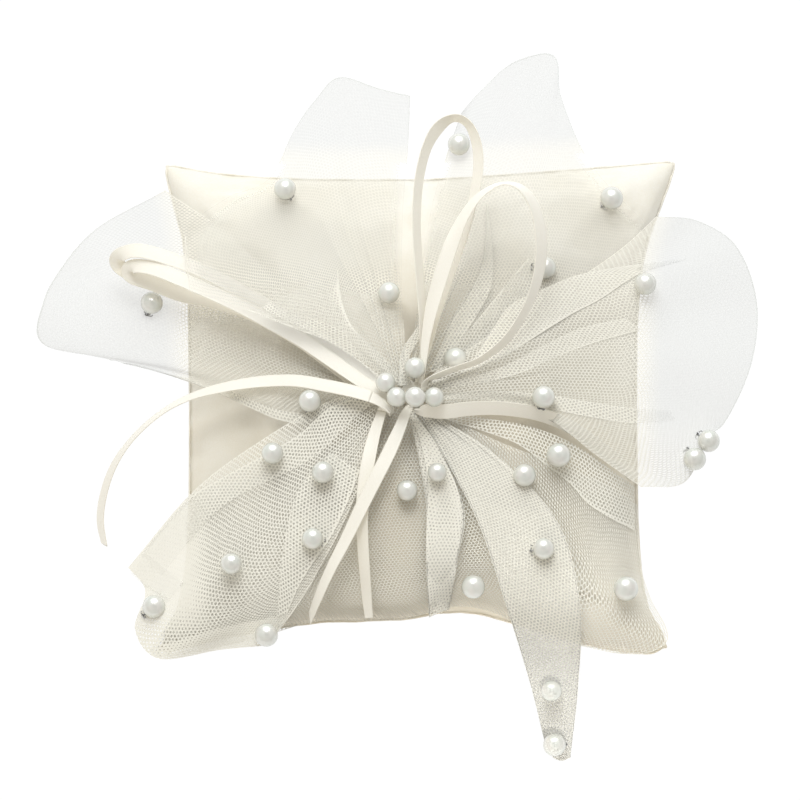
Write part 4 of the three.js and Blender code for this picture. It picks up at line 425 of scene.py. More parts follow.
def tulle():
    """White nylon netting: a hexagonal mesh of fine threads with open holes. The pattern lies in the cloth's own flat measure, in millimetres."""
    k = Nodes("white_tulle")
    uv = k.n("TexCoord").outputs["UV"]
    obj = k.n("TexCoord").outputs["Object"]
    wob = k.noise(obj, 130, 1.0, out="Color")
    wob = k.vec("SCALE", k.vec("SUBTRACT", wob, (0.5, 0.5, 0.5)), 0.55)
    p = k.vec("ADD", k.vec("SCALE", uv, 1 / NET_PITCH), wob)
    r = (1.0, 1.7320508, 1.0)
    h = (0.5, 0.8660254, 0.5)
    zero = (1.0, 1.0, 0.0)
    a = k.vec("MULTIPLY", k.vec("SUBTRACT", k.vec("MODULO", p, r), h), zero)
    b = k.vec("MULTIPLY", k.vec("SUBTRACT", k.vec("MODULO", k.vec("SUBTRACT", p, h), r), h), zero)
    near = k.math("LESS_THAN", k.vec("DOT_PRODUCT", b, b), k.vec("DOT_PRODUCT", a, a))
    g = k.vec("ABSOLUTE", k.mix(near, a, b, "VECTOR"))
    edge = k.math("MAXIMUM", k.vec("DOT_PRODUCT", g, (0.5, 0.8660254, 0.0)), k.vec("DOT_PRODUCT", g, (1.0, 0.0, 0.0)))
    dens = k.n("Attribute", attribute_name="dens").outputs["Fac"]
    inner = k.math("SUBTRACT", 0.5, dens)
    alpha = k.span(edge, k.math("SUBTRACT", inner, 0.02), k.math("ADD", inner, 0.02), 0.0, 1.0, "SMOOTHSTEP")
    solid = k.math("MULTIPLY", dens, 2.0)      # light that passes through is averaged over the holes
    cover = k.math("MULTIPLY", k.n("Attribute", attribute_name="shade").outputs["Fac"], k.math("MINIMUM", 0.60, k.math("SUBTRACT", 1.0, k.math("POWER", k.math("SUBTRACT", 1.0, solid), 2.0))))
    soft = k.n("Attribute", attribute_name="soft").outputs["Fac"]      # where the mesh melts into an even veil
    mean = k.math("SUBTRACT", 1.0, k.math("POWER", k.math("SUBTRACT", 1.0, solid), 2.0))
    alpha = k.mix(soft, alpha, mean, "FLOAT")
    alpha = k.mix(k.n("LightPath").outputs["Is Shadow Ray"], alpha, cover, "FLOAT")
    thread = k.noise(obj, 1500, 2.0)
    net_painted_shade = k.n("Attribute", attribute_name="net_painted_shade").outputs["Fac"]
    lift = k.n("Attribute", attribute_name="lift").outputs["Fac"]
    # painted light: off the cushion the net takes a greyer colour as painted shade; over it, its warm tone stands
    # partly for bounce light from the satin
    col = k.mix(net_painted_shade, k.mix(thread, srgb(*NET_DARK), srgb(*NET_LIGHT)), k.mix(thread, srgb(*NET_PAINTED_SHADE_DARK), srgb(*NET_PAINTED_SHADE_LIGHT)))
    normal = k.vec("NORMALIZE", k.mix(lift, k.n("NewGeometry").outputs["Normal"], (0.0, 0.0, 1.0), "VECTOR"))
    return k.set(Base_Color=col, Roughness=0.55, Alpha=alpha, Sheen_Weight=0.3, Sheen_Roughness=0.4, Specular_IOR_Level=0.35, Normal=normal)


def satin_ribbon():
    """Double-face satin ribbon: long shining floats and a firmer woven edge."""
    k = Nodes("ribbon_satin")
    uv = k.n("TexCoord").outputs["UV"]
    sep = k.n("SeparateXYZ")
    k.put(sep.inputs[0], uv)
    across, along = sep.outputs[0], sep.outputs[1]
    m = k.n("Mapping")
    k.put(m.inputs["Vector"], uv)
    m.inputs["Scale"].default_value = (9.0, 0.9, 1)
    floats = k.noise(m.outputs[0], 1.0, 2.0)
    m2 = k.n("Mapping")
    k.put(m2.inputs["Vector"], uv)
    m2.inputs["Scale"].default_value = (1.4, 6.0, 1)
    ribs = k.noise(m2.outputs[0], 1.0, 2.0)
    side = k.math("ABSOLUTE", across)
    lip = k.span(side, 2.45, 2.75, 0.0, 1.0, "SMOOTHSTEP")
    picot = k.math("MULTIPLY", lip, k.math("ADD", 0.5, k.math("MULTIPLY", 0.5, k.math("SINE", k.math("MULTIPLY", along, 9.0)))))
    tone = k.math("ADD", k.math("MULTIPLY", floats, 0.6), k.math("MULTIPLY", ribs, 0.4))
    col = k.ramp(tone, (0.25, srgb(*RIBBON_DARK)[:3]), (0.75, srgb(*RIBBON_LIGHT)[:3]))
    col = k.mix(k.math("MULTIPLY", lip, 0.35), col, srgb(*RIBBON_DARK))
    height = k.math("ADD", k.math("MULTIPLY", floats, 0.6), k.math("ADD", k.math("MULTIPLY", ribs, 0.3), k.math("MULTIPLY", picot, 0.8)))
    return k.set(Base_Color=col, Roughness=k.span(floats, 0.2, 0.8, 0.34, 0.46), Normal=k.bump(height, 0.12, 0.00018), Sheen_Weight=0.25, Sheen_Roughness=0.3,
                 Sheen_Tint=srgb(255, 248, 228), Specular_IOR_Level=0.42, Anisotropic=0.5)


def pearl():
    """Faux pearl: lacquered bead with a faint play of pink and green under a clear coat, its colour painted darker
    towards the rim as painted shade.
    """
    k = Nodes("faux_pearl")
    obj = k.n("TexCoord").outputs["Object"]
    lw = k.n("LayerWeight")
    lw.inputs[0].default_value = 0.45
    # painted shade: the bead's colour darkens from the middle towards its rim, by how far the surface turns from the
    # view
    base = k.ramp(lw.outputs["Facing"], (0.0, srgb(243, 243, 239)[:3]), (0.5, srgb(229, 230, 224)[:3]), (1.0, srgb(170, 171, 161)[:3]))
    tint = k.ramp(k.noise(obj, 260, 1.0), (0.3, srgb(252, 246, 243)[:3]), (0.7, srgb(242, 248, 243)[:3]))
    col = k.mix(0.5, base, k.mix(1.0, base, tint, blend="MULTIPLY"))
    return k.set(Base_Color=col, Metallic=0.14, Roughness=0.30, Coat_Weight=1.0, Coat_Roughness=0.08, Coat_IOR=1.8, Specular_IOR_Level=0.6,
                 Normal=k.bump(k.noise(obj, 900, 1.0), 0.03, 0.0001))


def claw():
    k = Nodes("claw_metal")
    obj = k.n("TexCoord").outputs["Object"]
    n = k.noise(obj, 1800, 3.0)
    col = k.ramp(n, (0.3, srgb(150, 150, 152)[:3]), (0.7, srgb(196, 196, 198)[:3]))
    return k.set(Base_Color=col, Metallic=1.0, Roughness=k.span(n, 0.3, 0.7, 0.18, 0.34), Normal=k.bump(n, 0.1, 0.0002))


def fibre():
    k = Nodes("polyester_fibre")
    obj = k.n("TexCoord").outputs["Object"]
    n = k.noise(obj, 420, 6.0, 0.7)
    return k.set(Base_Color=k.ramp(n, (0.3, srgb(225, 225, 222)[:3]), (0.7, srgb(250, 250, 248)[:3])), Roughness=0.9, Normal=k.bump(n, 0.8, 0.002), Sheen_Weight=0.3)


def thread():
    k = Nodes("sewing_thread")
    obj = k.n("TexCoord").outputs["Object"]
    n = k.noise(obj, 3000, 2.0)
    return k.set(Base_Color=k.ramp(n, (0.3, srgb(214, 206, 188)[:3]), (0.7, srgb(244, 238, 224)[:3])), Roughness=0.6, Normal=k.bump(n, 0.4, 0.0002), Sheen_Weight=0.2)


M_SATIN, M_NET, M_RIBBON, M_PEARL, M_CLAW, M_FIBRE, M_THREAD = satin_cover(), tulle(), satin_ribbon(), pearl(), claw(), fibre(), thread()


# ------------------------------------------------------------------ ribbons: the four free tails come first
RIBBON_WIDE, RIBBON_THICK = 6.0, 0.36


def ribbon_mesh(name, ctrl, cut=(0.0, 0.0), curl=0.10, steps=None):
    """A flat band with rounded woven edges along the control points, each a place and the direction across the band."""
    P = np.array([c[0] for c in ctrl], float)
    Wv = np.array([c[1] for c in ctrl], float)
    Kv = np.array([c[2] for c in ctrl], float)
    n = steps or 14 * (len(P) - 1)
    line = catmull(P, n)
    d = rail(line)
    ev = np.linspace(0, d[-1], n + 1)
    wv = catmull(Wv, n)
    kv = np.interp(ev, d, catmull(Kv, n))
    line = np.stack([np.interp(ev, d, line[:, i]) for i in range(3)], 1)
    wv = np.stack([np.interp(ev, d, wv[:, i]) for i in range(3)], 1)
    t = unit(np.gradient(line, axis=0))
    w = unit(wv - (wv * t).sum(1)[:, None] * t)
    nrm = np.cross(w, t)
    half, th = RIBBON_WIDE / 2, RIBBON_THICK / 2
    pinch = 0.42 * smooth((0.72 - kv) / 0.4)                # gathered lengthwise where it goes into the knot
    prof = []
    xs = np.array([-1, -0.975, -0.93, -0.86, -0.6, -0.3, 0, 0.3, 0.6, 0.86, 0.93, 0.975, 1])
    thick = np.array([0.35, 0.95, 1.15, 0.9, 0.85, 0.85, 0.85, 0.85, 0.85, 0.9, 1.15, 0.95, 0.35])
    top = [(x * half, th * k + curl * (x * x - 0.4)) for x, k in zip(xs, thick)]
    bot = [(x * half, -th * k + curl * (x * x - 0.4)) for x, k in zip(xs[::-1], thick[::-1])]
    prof = np.array(top + bot)
    m = len(prof)
    V, UV = [], []
    for i in range(n + 1):
        shift = 0.0
        for px, pz in prof:
            s = 0.0
            if ev[i] < 6:
                s += cut[0] * px * (1 - ev[i] / 6)
            if ev[-1] - ev[i] < 6:
                s -= cut[1] * px * (1 - (ev[-1] - ev[i]) / 6)
            V.append(line[i] + w[i] * px * kv[i] + nrm[i] * (pz + pinch[i] * math.cos(px * 2.6)) + t[i] * s)
            UV.append((px, ev[i] + s))
    F = grid_faces(n + 1, m, wrap=True, flip=True)
    F.append(tuple(range(m))[::1])
    F.append(tuple(range(n * m, n * m + m))[::-1])
    o = make(name, V, F, M_RIBBON, UV)
    return o, line, d[-1]


def ribbon_piece(node, name, body, cut=(0, 0), curl=0.10, cord=None):
    o, line, length = ribbon_mesh(name, RIBBONS[node], cut, curl)
    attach(o, body)
    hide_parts(node)
    if cord:
        pts = (line[:: max(1, len(line) // 60)] * MM).tolist()
        if not np.allclose(pts[-1], line[-1] * MM):
            pts.append((line[-1] * MM).tolist())
    return o, length


TAILS = [("ribbon_tail_left", "left_tail_ribbon", "left_tail", (0, -0.35), "hanging"),
         ("ribbon_tail_front_under", "front_tail_ribbon_under", "front_tails", (0, 0.3), "loose"),
         ("ribbon_tail_front_over", "front_tail_ribbon_over", "front_tails", (0, -0.4), "loose"),
         ("ribbon_tail_right", "right_tail_ribbon", "root", (0, 0.3), "loose")]
for node, name, body, cut, lay in TAILS:
    o, length = ribbon_piece(node, name, body, cut, 0.12, lay)
    print("tail", name, round(length, 1), "mm")
for name, ctrl in ROOTS.items():                       # the first few millimetres of the lifting tails stay with the knot
    o, line, length = ribbon_mesh(name, ctrl)
    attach(o, "root")


# ------------------------------------------------------------------ cushion: two panels sewn round the edge, puffed by a cloth simulation
SEAM_Z, DOME_UP, DOME_DOWN = 30.0, 31.0, 38.0


CORNERS = [(-101.0, 103.0, 1.5), (104.4, 104.0, 1.3), (-104.0, -106.0, 2.0), (101.8, -104.8, 3.0)]


def lower_edge(a):
    """How far the cushion reaches towards the viewer, from its left corner at a = -1 to its right one at a = 1."""
    pa = np.abs(a)
    left = 89.0 + 17.0 * pa**1.7 + np.interp(pa, [0, 0.07, 0.135, 0.2, 0.257, 0.33, 0.45], [1.5, 2.0, 1.8, 1.6, 1.2, 0.4, 0])
    right = np.interp(pa, [0, 0.05, 0.1, 0.17, 0.23, 0.3, 0.4, 0.5, 0.66, 0.8, 0.9, 1.0], [90.4, 89.4, 88.3, 87.8, 88.3, 89.9, 93.0, 96.3, 101.5, 104.5, 105.6, 104.8])
    return np.where(a < 0, left, right)


def outline(a, b):
    """Plan of the cushion: a and b run from -1 to 1 between its sides, which pull in between the corners."""
    pa, pb = np.abs(a), np.abs(b)
    xl = -np.where(b > 0, np.interp(pb, [0, 0.5, 0.7, 0.8, 0.9, 1.0], [90.4, 91.2, 93.6, 96.4, 99.0, 101.0]), 90.4 + 13.6 * pb**5)
    xr = np.where(b > 0, np.interp(pb, [0, 0.3, 0.5, 0.6, 0.7, 0.8, 0.9, 1.0], [88.0, 88.3, 89.6, 91.2, 93.8, 97.6, 101.4, 104.4]), np.interp(pb, [0, 0.45, 0.588, 0.67, 0.751, 0.832, 0.914, 1.0], [88.0, 88.4, 89.1, 89.8, 90.9, 92.8, 97.6, 101.8]))
    yt = 96.0 + np.where(a < 0, 7.0 * pa**4, 8.0 * pa**1.2)
    yb = -lower_edge(a)
    x, y = xl + (xr - xl) * (a + 1) / 2, yb + (yt - yb) * (b + 1) / 2
    for cx, cy, cr in CORNERS:                   # each corner is turned with a small radius
        dist = np.hypot(x - cx, y - cy)
        pull = cr * np.exp(-((dist / (1.7 * cr)) ** 2))
        x, y = x - np.sign(cx) * pull * 0.7, y - np.sign(cy) * pull * 0.7
    return x, y


def cushion_rest(n):
    """Points and quads of the closed cushion at rest, n cells a side, with the rim shared by both panels."""
    t = np.linspace(-1, 1, n + 1)
    t = 0.55 * t + 0.45 * np.sin(math.pi * t / 2)
    b, a = np.meshgrid(t, t, indexing="ij")
    x, y = outline(a, b)
    f = np.sqrt(np.maximum(0, (1 - a * a) * (1 - b * b)))
    dim = 5.0 * np.exp(-((x + 2) ** 2 + (y + 6) ** 2) / (2 * 22.0**2))
    up = SEAM_Z + (DOME_UP - dim) * f
    down = np.maximum(SEAM_Z - DOME_DOWN * f, 0.15 * (1 - f))
    rim = (np.abs(a) > 0.9999) | (np.abs(b) > 0.9999)
    N = (n + 1) ** 2
    top = np.stack([x, y, up], -1).reshape(-1, 3)
    bot = np.stack([x, y, down], -1).reshape(-1, 3)
    rimf = rim.ravel()
    index = np.full(N, -1)
    index[rimf] = np.nonzero(rimf)[0]
    free = np.nonzero(~rimf)[0]
    index[free] = N + np.arange(len(free))
    V = np.concatenate([top, bot[free]])
    F = grid_faces(n + 1, n + 1)
    G = [tuple(index[k] for k in q[::-1]) for q in F]
    return V, F, G, rimf, free, N


def mesh_normals(V, F):
    F = np.asarray(F)
    fn = np.cross(V[F[:, 2]] - V[F[:, 0]], V[F[:, 3]] - V[F[:, 1]])
    nv = np.zeros_like(V)
    for i in range(4):
        np.add.at(nv, F[:, i], fn)
    return unit(nv)


def puff(V, F, G, rimf, n):
    """The two panels swell under a little pressure with their sewn rim held, so that the slack gathers in folds along the seam."""
    start = V.copy()
    nv = mesh_normals(V, F + G)
    inner = np.ones(len(V), bool)
    inner[: len(rimf)][rimf] = False
    start[inner] -= nv[inner] * 1.6
    o = make("puff_work", start, F + G)
    pins = o.vertex_groups.new(name="pins")
    pins.add([int(i) for i in np.nonzero(rimf)[0]], 1.0, "REPLACE")
    r = np.hypot(V[:, 0] + 2, V[:, 1] + 6)
    pins.add([int(i) for i in np.nonzero((r < 9) & (V[:, 2] > SEAM_Z))[0]], 1.0, "REPLACE")
    mod = o.modifiers.new("cloth", "CLOTH")
    s = mod.settings
    s.quality = 5
    s.mass = 0.12
    s.tension_stiffness = s.compression_stiffness = 22
    s.shear_stiffness = 8
    s.bending_stiffness = 0.25
    s.tension_damping = s.compression_damping = 8
    s.air_damping = 1.5
    s.use_pressure = True
    s.uniform_pressure_force = 4.0
    s.shrink_min = -0.045
    s.effector_weights.gravity = 0
    s.vertex_group_mass = "pins"
    mod.collision_settings.use_collision = False
    mod.collision_settings.use_self_collision = False
    mod.point_cache.frame_start, mod.point_cache.frame_end = 1, 20
    for f in range(1, 21):
        scene.frame_set(f)
    e = o.evaluated_get(bpy.context.evaluated_depsgraph_get())
    P = np.zeros(len(V) * 3, np.float32)
    e.data.vertices.foreach_get("co", P)
    P = P.reshape(-1, 3).astype(float) / MM
    scene.frame_set(1)
    bpy.data.objects.remove(o)
    d = P - V
    out = (d * nv).sum(1)
    side = d - out[:, None] * nv
    cap_out = 1.3
    o2 = np.where(out > 0, cap_out * np.tanh(out / cap_out), -5.0 * np.tanh(-out / 5.0))
    sl = np.linalg.norm(side, axis=1, keepdims=True)
    side = side * np.minimum(1, 2.5 / np.maximum(sl, 1e-9))
    corner = np.min([np.hypot(V[:, 0] - cx, V[:, 1] - cy) for cx, cy, _ in CORNERS], axis=0)
    calm = smooth((corner - 6) / 34)[:, None]           # the corners stay as sewn
    W = V + (nv * o2[:, None] + side) * calm
    W[~inner] = V[~inner]
    W[:, 2] = np.maximum(W[:, 2], 0.0)
    print("puff: out", out.min().round(2), out.max().round(2), "mean", out.mean().round(2))
    return W


CUSHION_CELLS = 84
V0, FT, FB, RIM, FREE, NTOP = cushion_rest(CUSHION_CELLS)
VS = puff(V0, FT, FB, RIM, CUSHION_CELLS)


def surface_of(V, F, used):
    """Only the points that the faces use, renumbered."""
    keep = np.unique(np.asarray(F).ravel())
    new = np.full(len(V), -1)
    new[keep] = np.arange(len(keep))
    return V[keep], [tuple(int(new[i]) for i in f) for f in F]


def shell(name, V, F, node, thickness, levels=1):
    v, f = surface_of(V, F, None)
    o = make(name, v, f, M_SATIN)
    s = o.modifiers.new("smooth", "SUBSURF")
    s.levels = s.render_levels = levels
    t = o.modifiers.new("cloth_thickness", "SOLIDIFY")
    t.thickness, t.offset = thickness * MM, -1
    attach(o, "root")
    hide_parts(node)
    return o


front = shell("front_panel_satin", VS, FT, "pillow_front_panel", 0.35)
back = shell("back_panel_satin", VS, FB, "pillow_back_panel", 0.35)

core = np.array([-1.0, 0.0, 30.0])
fill_v = core + (VS - core) * np.array([0.90, 0.90, 0.88])
filling = make("fibre_fill", fill_v, FT + FB, M_FIBRE)
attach(filling, "root")
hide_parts("fibre_filling")

# the sewn edge: a narrow turned rim all round, slightly gathered by its stitches
n = CUSHION_CELLS + 1
ring = [j for j in range(n)] + [i * n + n - 1 for i in range(1, n)] + [(n - 1) * n + j for j in range(n - 2, -1, -1)] + [i * n for i in range(n - 2, 0, -1)]
loop = VS[ring]
loop = catmull(np.concatenate([loop, loop[:1]]), 4 * len(loop))[:-1]
tang = unit(np.roll(loop, -1, 0) - np.roll(loop, 1, 0))
outw = unit(np.cross(tang, [0, 0, 1.0]))
along = rail(np.concatenate([loop, loop[:1]]))[:-1]
pucker = 0.05 * np.sin(along * 2 * math.pi / 3.1) + 0.16 * np.sin(along * 2 * math.pi / 9.3 + 1) + 0.2 * np.sin(along * 2 * math.pi / 21.0)
SV, SP = [], [(math.cos(q) * 0.38, math.sin(q) * 0.34) for q in np.linspace(0, 2 * math.pi, 10, endpoint=False)]
for i in range(len(loop)):
    for px, pz in SP:
        SV.append(loop[i] + outw[i] * (px + 0.05) + np.array([0, 0, pz * (1 + 0.08 * math.sin(along[i] * 2 * math.pi / 2.4)) + pucker[i]]))
F = grid_faces(len(loop), len(SP), wrap=True)
last = (len(loop) - 1) * len(SP)
F += [(last + j, last + (j + 1) % len(SP), (j + 1) % len(SP), j) for j in range(len(SP))]
seam = make("edge_seam", SV, F, M_SATIN)
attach(seam, "root")

# ------------------------------------------------------------------ tulle petals
TOPTREE = BVHTree.FromPolygons([tuple(v) for v in VS], [tuple(int(i) for i in f) for f in FT])
BIND = np.array([-2.2, -7.4, 61.4])
SE, CE = math.sin(ELEV), math.cos(ELEV)
RIGHT_TAIL_LINE = catmull([c[0] for c in RIBBONS["ribbon_tail_right"]], 120)


def above(P, gap):
    """Lifts points that would lie in the cushion to a gap above it."""
    Q = P.reshape(-1, 3)
    for i in range(len(Q)):
        hit = TOPTREE.ray_cast(Vector((Q[i, 0], Q[i, 1], 200.0)), Vector((0, 0, -1)))
        if hit[0] is not None and Q[i, 2] < hit[0].z + gap:
            Q[i, 2] = hit[0].z + gap
        elif Q[i, 2] < 0.6:
            Q[i, 2] = 0.6
    return P


def under(P, line, upto):
    """Lays the net just below a ribbon as the viewer sees it, as far as the place upto along +X."""
    U, V, D = P[..., 0], P[..., 1] * SE + P[..., 2] * CE, -P[..., 1] * CE + P[..., 2] * SE
    L = line[line[:, 0] < upto]
    lu, lv, ld = L[:, 0], L[:, 1] * SE + L[:, 2] * CE, -L[:, 1] * CE + L[:, 2] * SE
    flat = np.stack([U.ravel(), V.ravel()], 1)
    dist = np.hypot(flat[:, None, 0] - lu[None], flat[:, None, 1] - lv[None])
    k = dist.argmin(1)
    rho = dist.min(1).reshape(U.shape)
    want = (ld[k] - 0.7).reshape(U.shape)
    move = np.maximum(0, D - want) * smooth((7.5 - rho) / 4.2)
    print("under", move.max().round(2))
    return P - move[..., None] * np.array([0, -CE, SE])


def rim_shift(P):
    """Carries the nets' lower hems along with the cushion's lower right edge, which swings out."""
    a = np.where(P[..., 0] > -1, np.clip((P[..., 0] + 1) / 101.0, 0, 1), np.clip((P[..., 0] + 1) / 103.0, -1, 0))
    d = lower_edge(a) - (89.0 + 17.0 * np.abs(a)**1.7) + 0.7
    move = np.maximum(d, -2.5) * smooth((-76 - P[..., 1]) / 12.0)
    return P - move[..., None] * np.array([0, 1.0, 0])


MELT = {"tulle_left_petal": 0.38, "tulle_upper_left_petal": 0.35, "tulle_upper_right_petal": 0.25, "tulle_right_petal": 0.05, "tulle_lower_skirt": 0.05,
        "tulle_lower_left_petal": 0.15, "tulle_folded_strip": 0.30, "tulle_hanging_tail": 0.42}


def beyond(Q):
    """1 where a point lies outside the cushion's plan, 0 over it."""
    return np.array([0.0 if TOPTREE.ray_cast(Vector((q[0], q[1], 200.0)), Vector((0, 0, -1)))[0] is not None else 1.0 for q in Q])


EDGE_TREE = KDTree(len(loop))
for i, q in enumerate(loop):
    EDGE_TREE.insert((q[0], q[1], 0.0), i)
EDGE_TREE.balance()


def away(Q):
    """Grows from 0 at the cushion's edge to 1 well outside it."""
    out = beyond(Q)
    far = np.array([EDGE_TREE.find((q[0], q[1], 0.0))[2] if o > 0 else 0.0 for q, o in zip(Q, out)])
    return smooth(far / 11.0)


def corner_film(Q):
    """The lower left corner, where the net lies in several layers."""
    return smooth((-79 - Q[..., 0]) / 13) * smooth((-38 - Q[..., 1]) / 15) * smooth((Q[..., 1] + 106) / 18)


def net_looks(Q, node):
    """Per point: how far the mesh melts into an even veil, how much it takes the greyer colour of painted shade off the
    cushion, the share of light it stops, and how far its shading is evened out.
    """
    x, y, out = Q[:, 0], Q[:, 1], away(Q)
    s = MELT[node] + 0.12 * smooth((y + 30) / 50) + 0.25 * smooth((y - 10) / 60) + out * (0.10 + 0.40 * smooth((y + 60) / 60))
    if node == "tulle_right_petal":
        s = s + 0.33 * smooth((y + 75) / 40)
    elif node == "tulle_lower_skirt":
        s = s + 0.15 * smooth((40 - x) / 40)
    if node in ("tulle_upper_left_petal", "tulle_upper_right_petal"):
        s = s + (1 - out) * 0.35 * smooth((y - 28) / 30)
    s = np.maximum(np.minimum(s, 0.92), 0.92 * corner_film(Q))
    # painted shade: off the cushion the net turns greyer, more so towards the far side
    net_painted_shade = out * (0.3 + 0.7 * smooth((y + 60) / 60)) * (0.0 if node == "tulle_lower_left_petal" else 1.0)
    shade = NET_SHADE * np.interp(y, [-100, -66, -20, 10, 35, 60], [2.2, 1.9, 1.6, 1.3, 0.5, 0.35]) * (0.12 if node == "tulle_hanging_tail" else 1.0)
    lift = np.full(len(Q), 0.9 if node in ("tulle_hanging_tail", "tulle_folded_strip") else 0.65) + (0.25 * smooth((y - 5) / 40) if node.startswith("tulle_upper") else 0)
    return {"soft": s, "net_painted_shade": net_painted_shade, "shade": shade, "lift": lift}


def edged(n, eps):
    """Grid lines from 0 to 1 with a narrow band at each end."""
    return np.concatenate([[0, eps, 2 * eps], np.linspace(0, 1, n + 1)[1:-1], [1 - 2 * eps, 1 - eps, 1]])


def normals_of(S):
    a = np.gradient(S, axis=0)
    b = np.gradient(S, axis=1)
    return unit(np.cross(b, a))


PETAL_LOOK = {
    # name: (pleats, pleat depth mm, pleat overlap, how far out the pleats reach, mesh turn in degrees, base density, hem wave mm, hem waves)
    "tulle_left_petal": (7, 0.8, 2.3, 0.75, 12, 0.150, 0.5, 3.0),
    "tulle_upper_left_petal": (6, 0.8, 2.5, 0.75, -8, 0.142, 0.6, 3.5),
    "tulle_upper_right_petal": (6, 0.8, 2.5, 0.80, 20, 0.138, 0.6, 3.5),
    "tulle_right_petal": (7, 0.8, 2.4, 0.75, 33, 0.170, 0.6, 4.0),
    "tulle_lower_skirt": (12, 0.6, 1.8, 0.45, 5, 0.14, 0.0, 5.0),
    "tulle_lower_left_petal": (6, 0.7, 2.2, 0.70, -25, 0.170, 0.0, 3.0),
    "tulle_folded_strip": (2, 0.4, 1.2, 0.5, 2, 0.250, 0.0, 2.0),
    "tulle_hanging_tail": (4, 0.6, 1.9, 0.55, 14, 0.200, 0.0, 2.0),
}
PITCH = {"tulle_left_petal": 1.5, "tulle_upper_left_petal": 1.48, "tulle_upper_right_petal": 1.5, "tulle_right_petal": 1.5, "tulle_lower_skirt": 1.52, "tulle_lower_left_petal": 1.5, "tulle_folded_strip": 1.5, "tulle_hanging_tail": 1.5}
NR, NC = 110, 150
PETAL_OBJ = {}


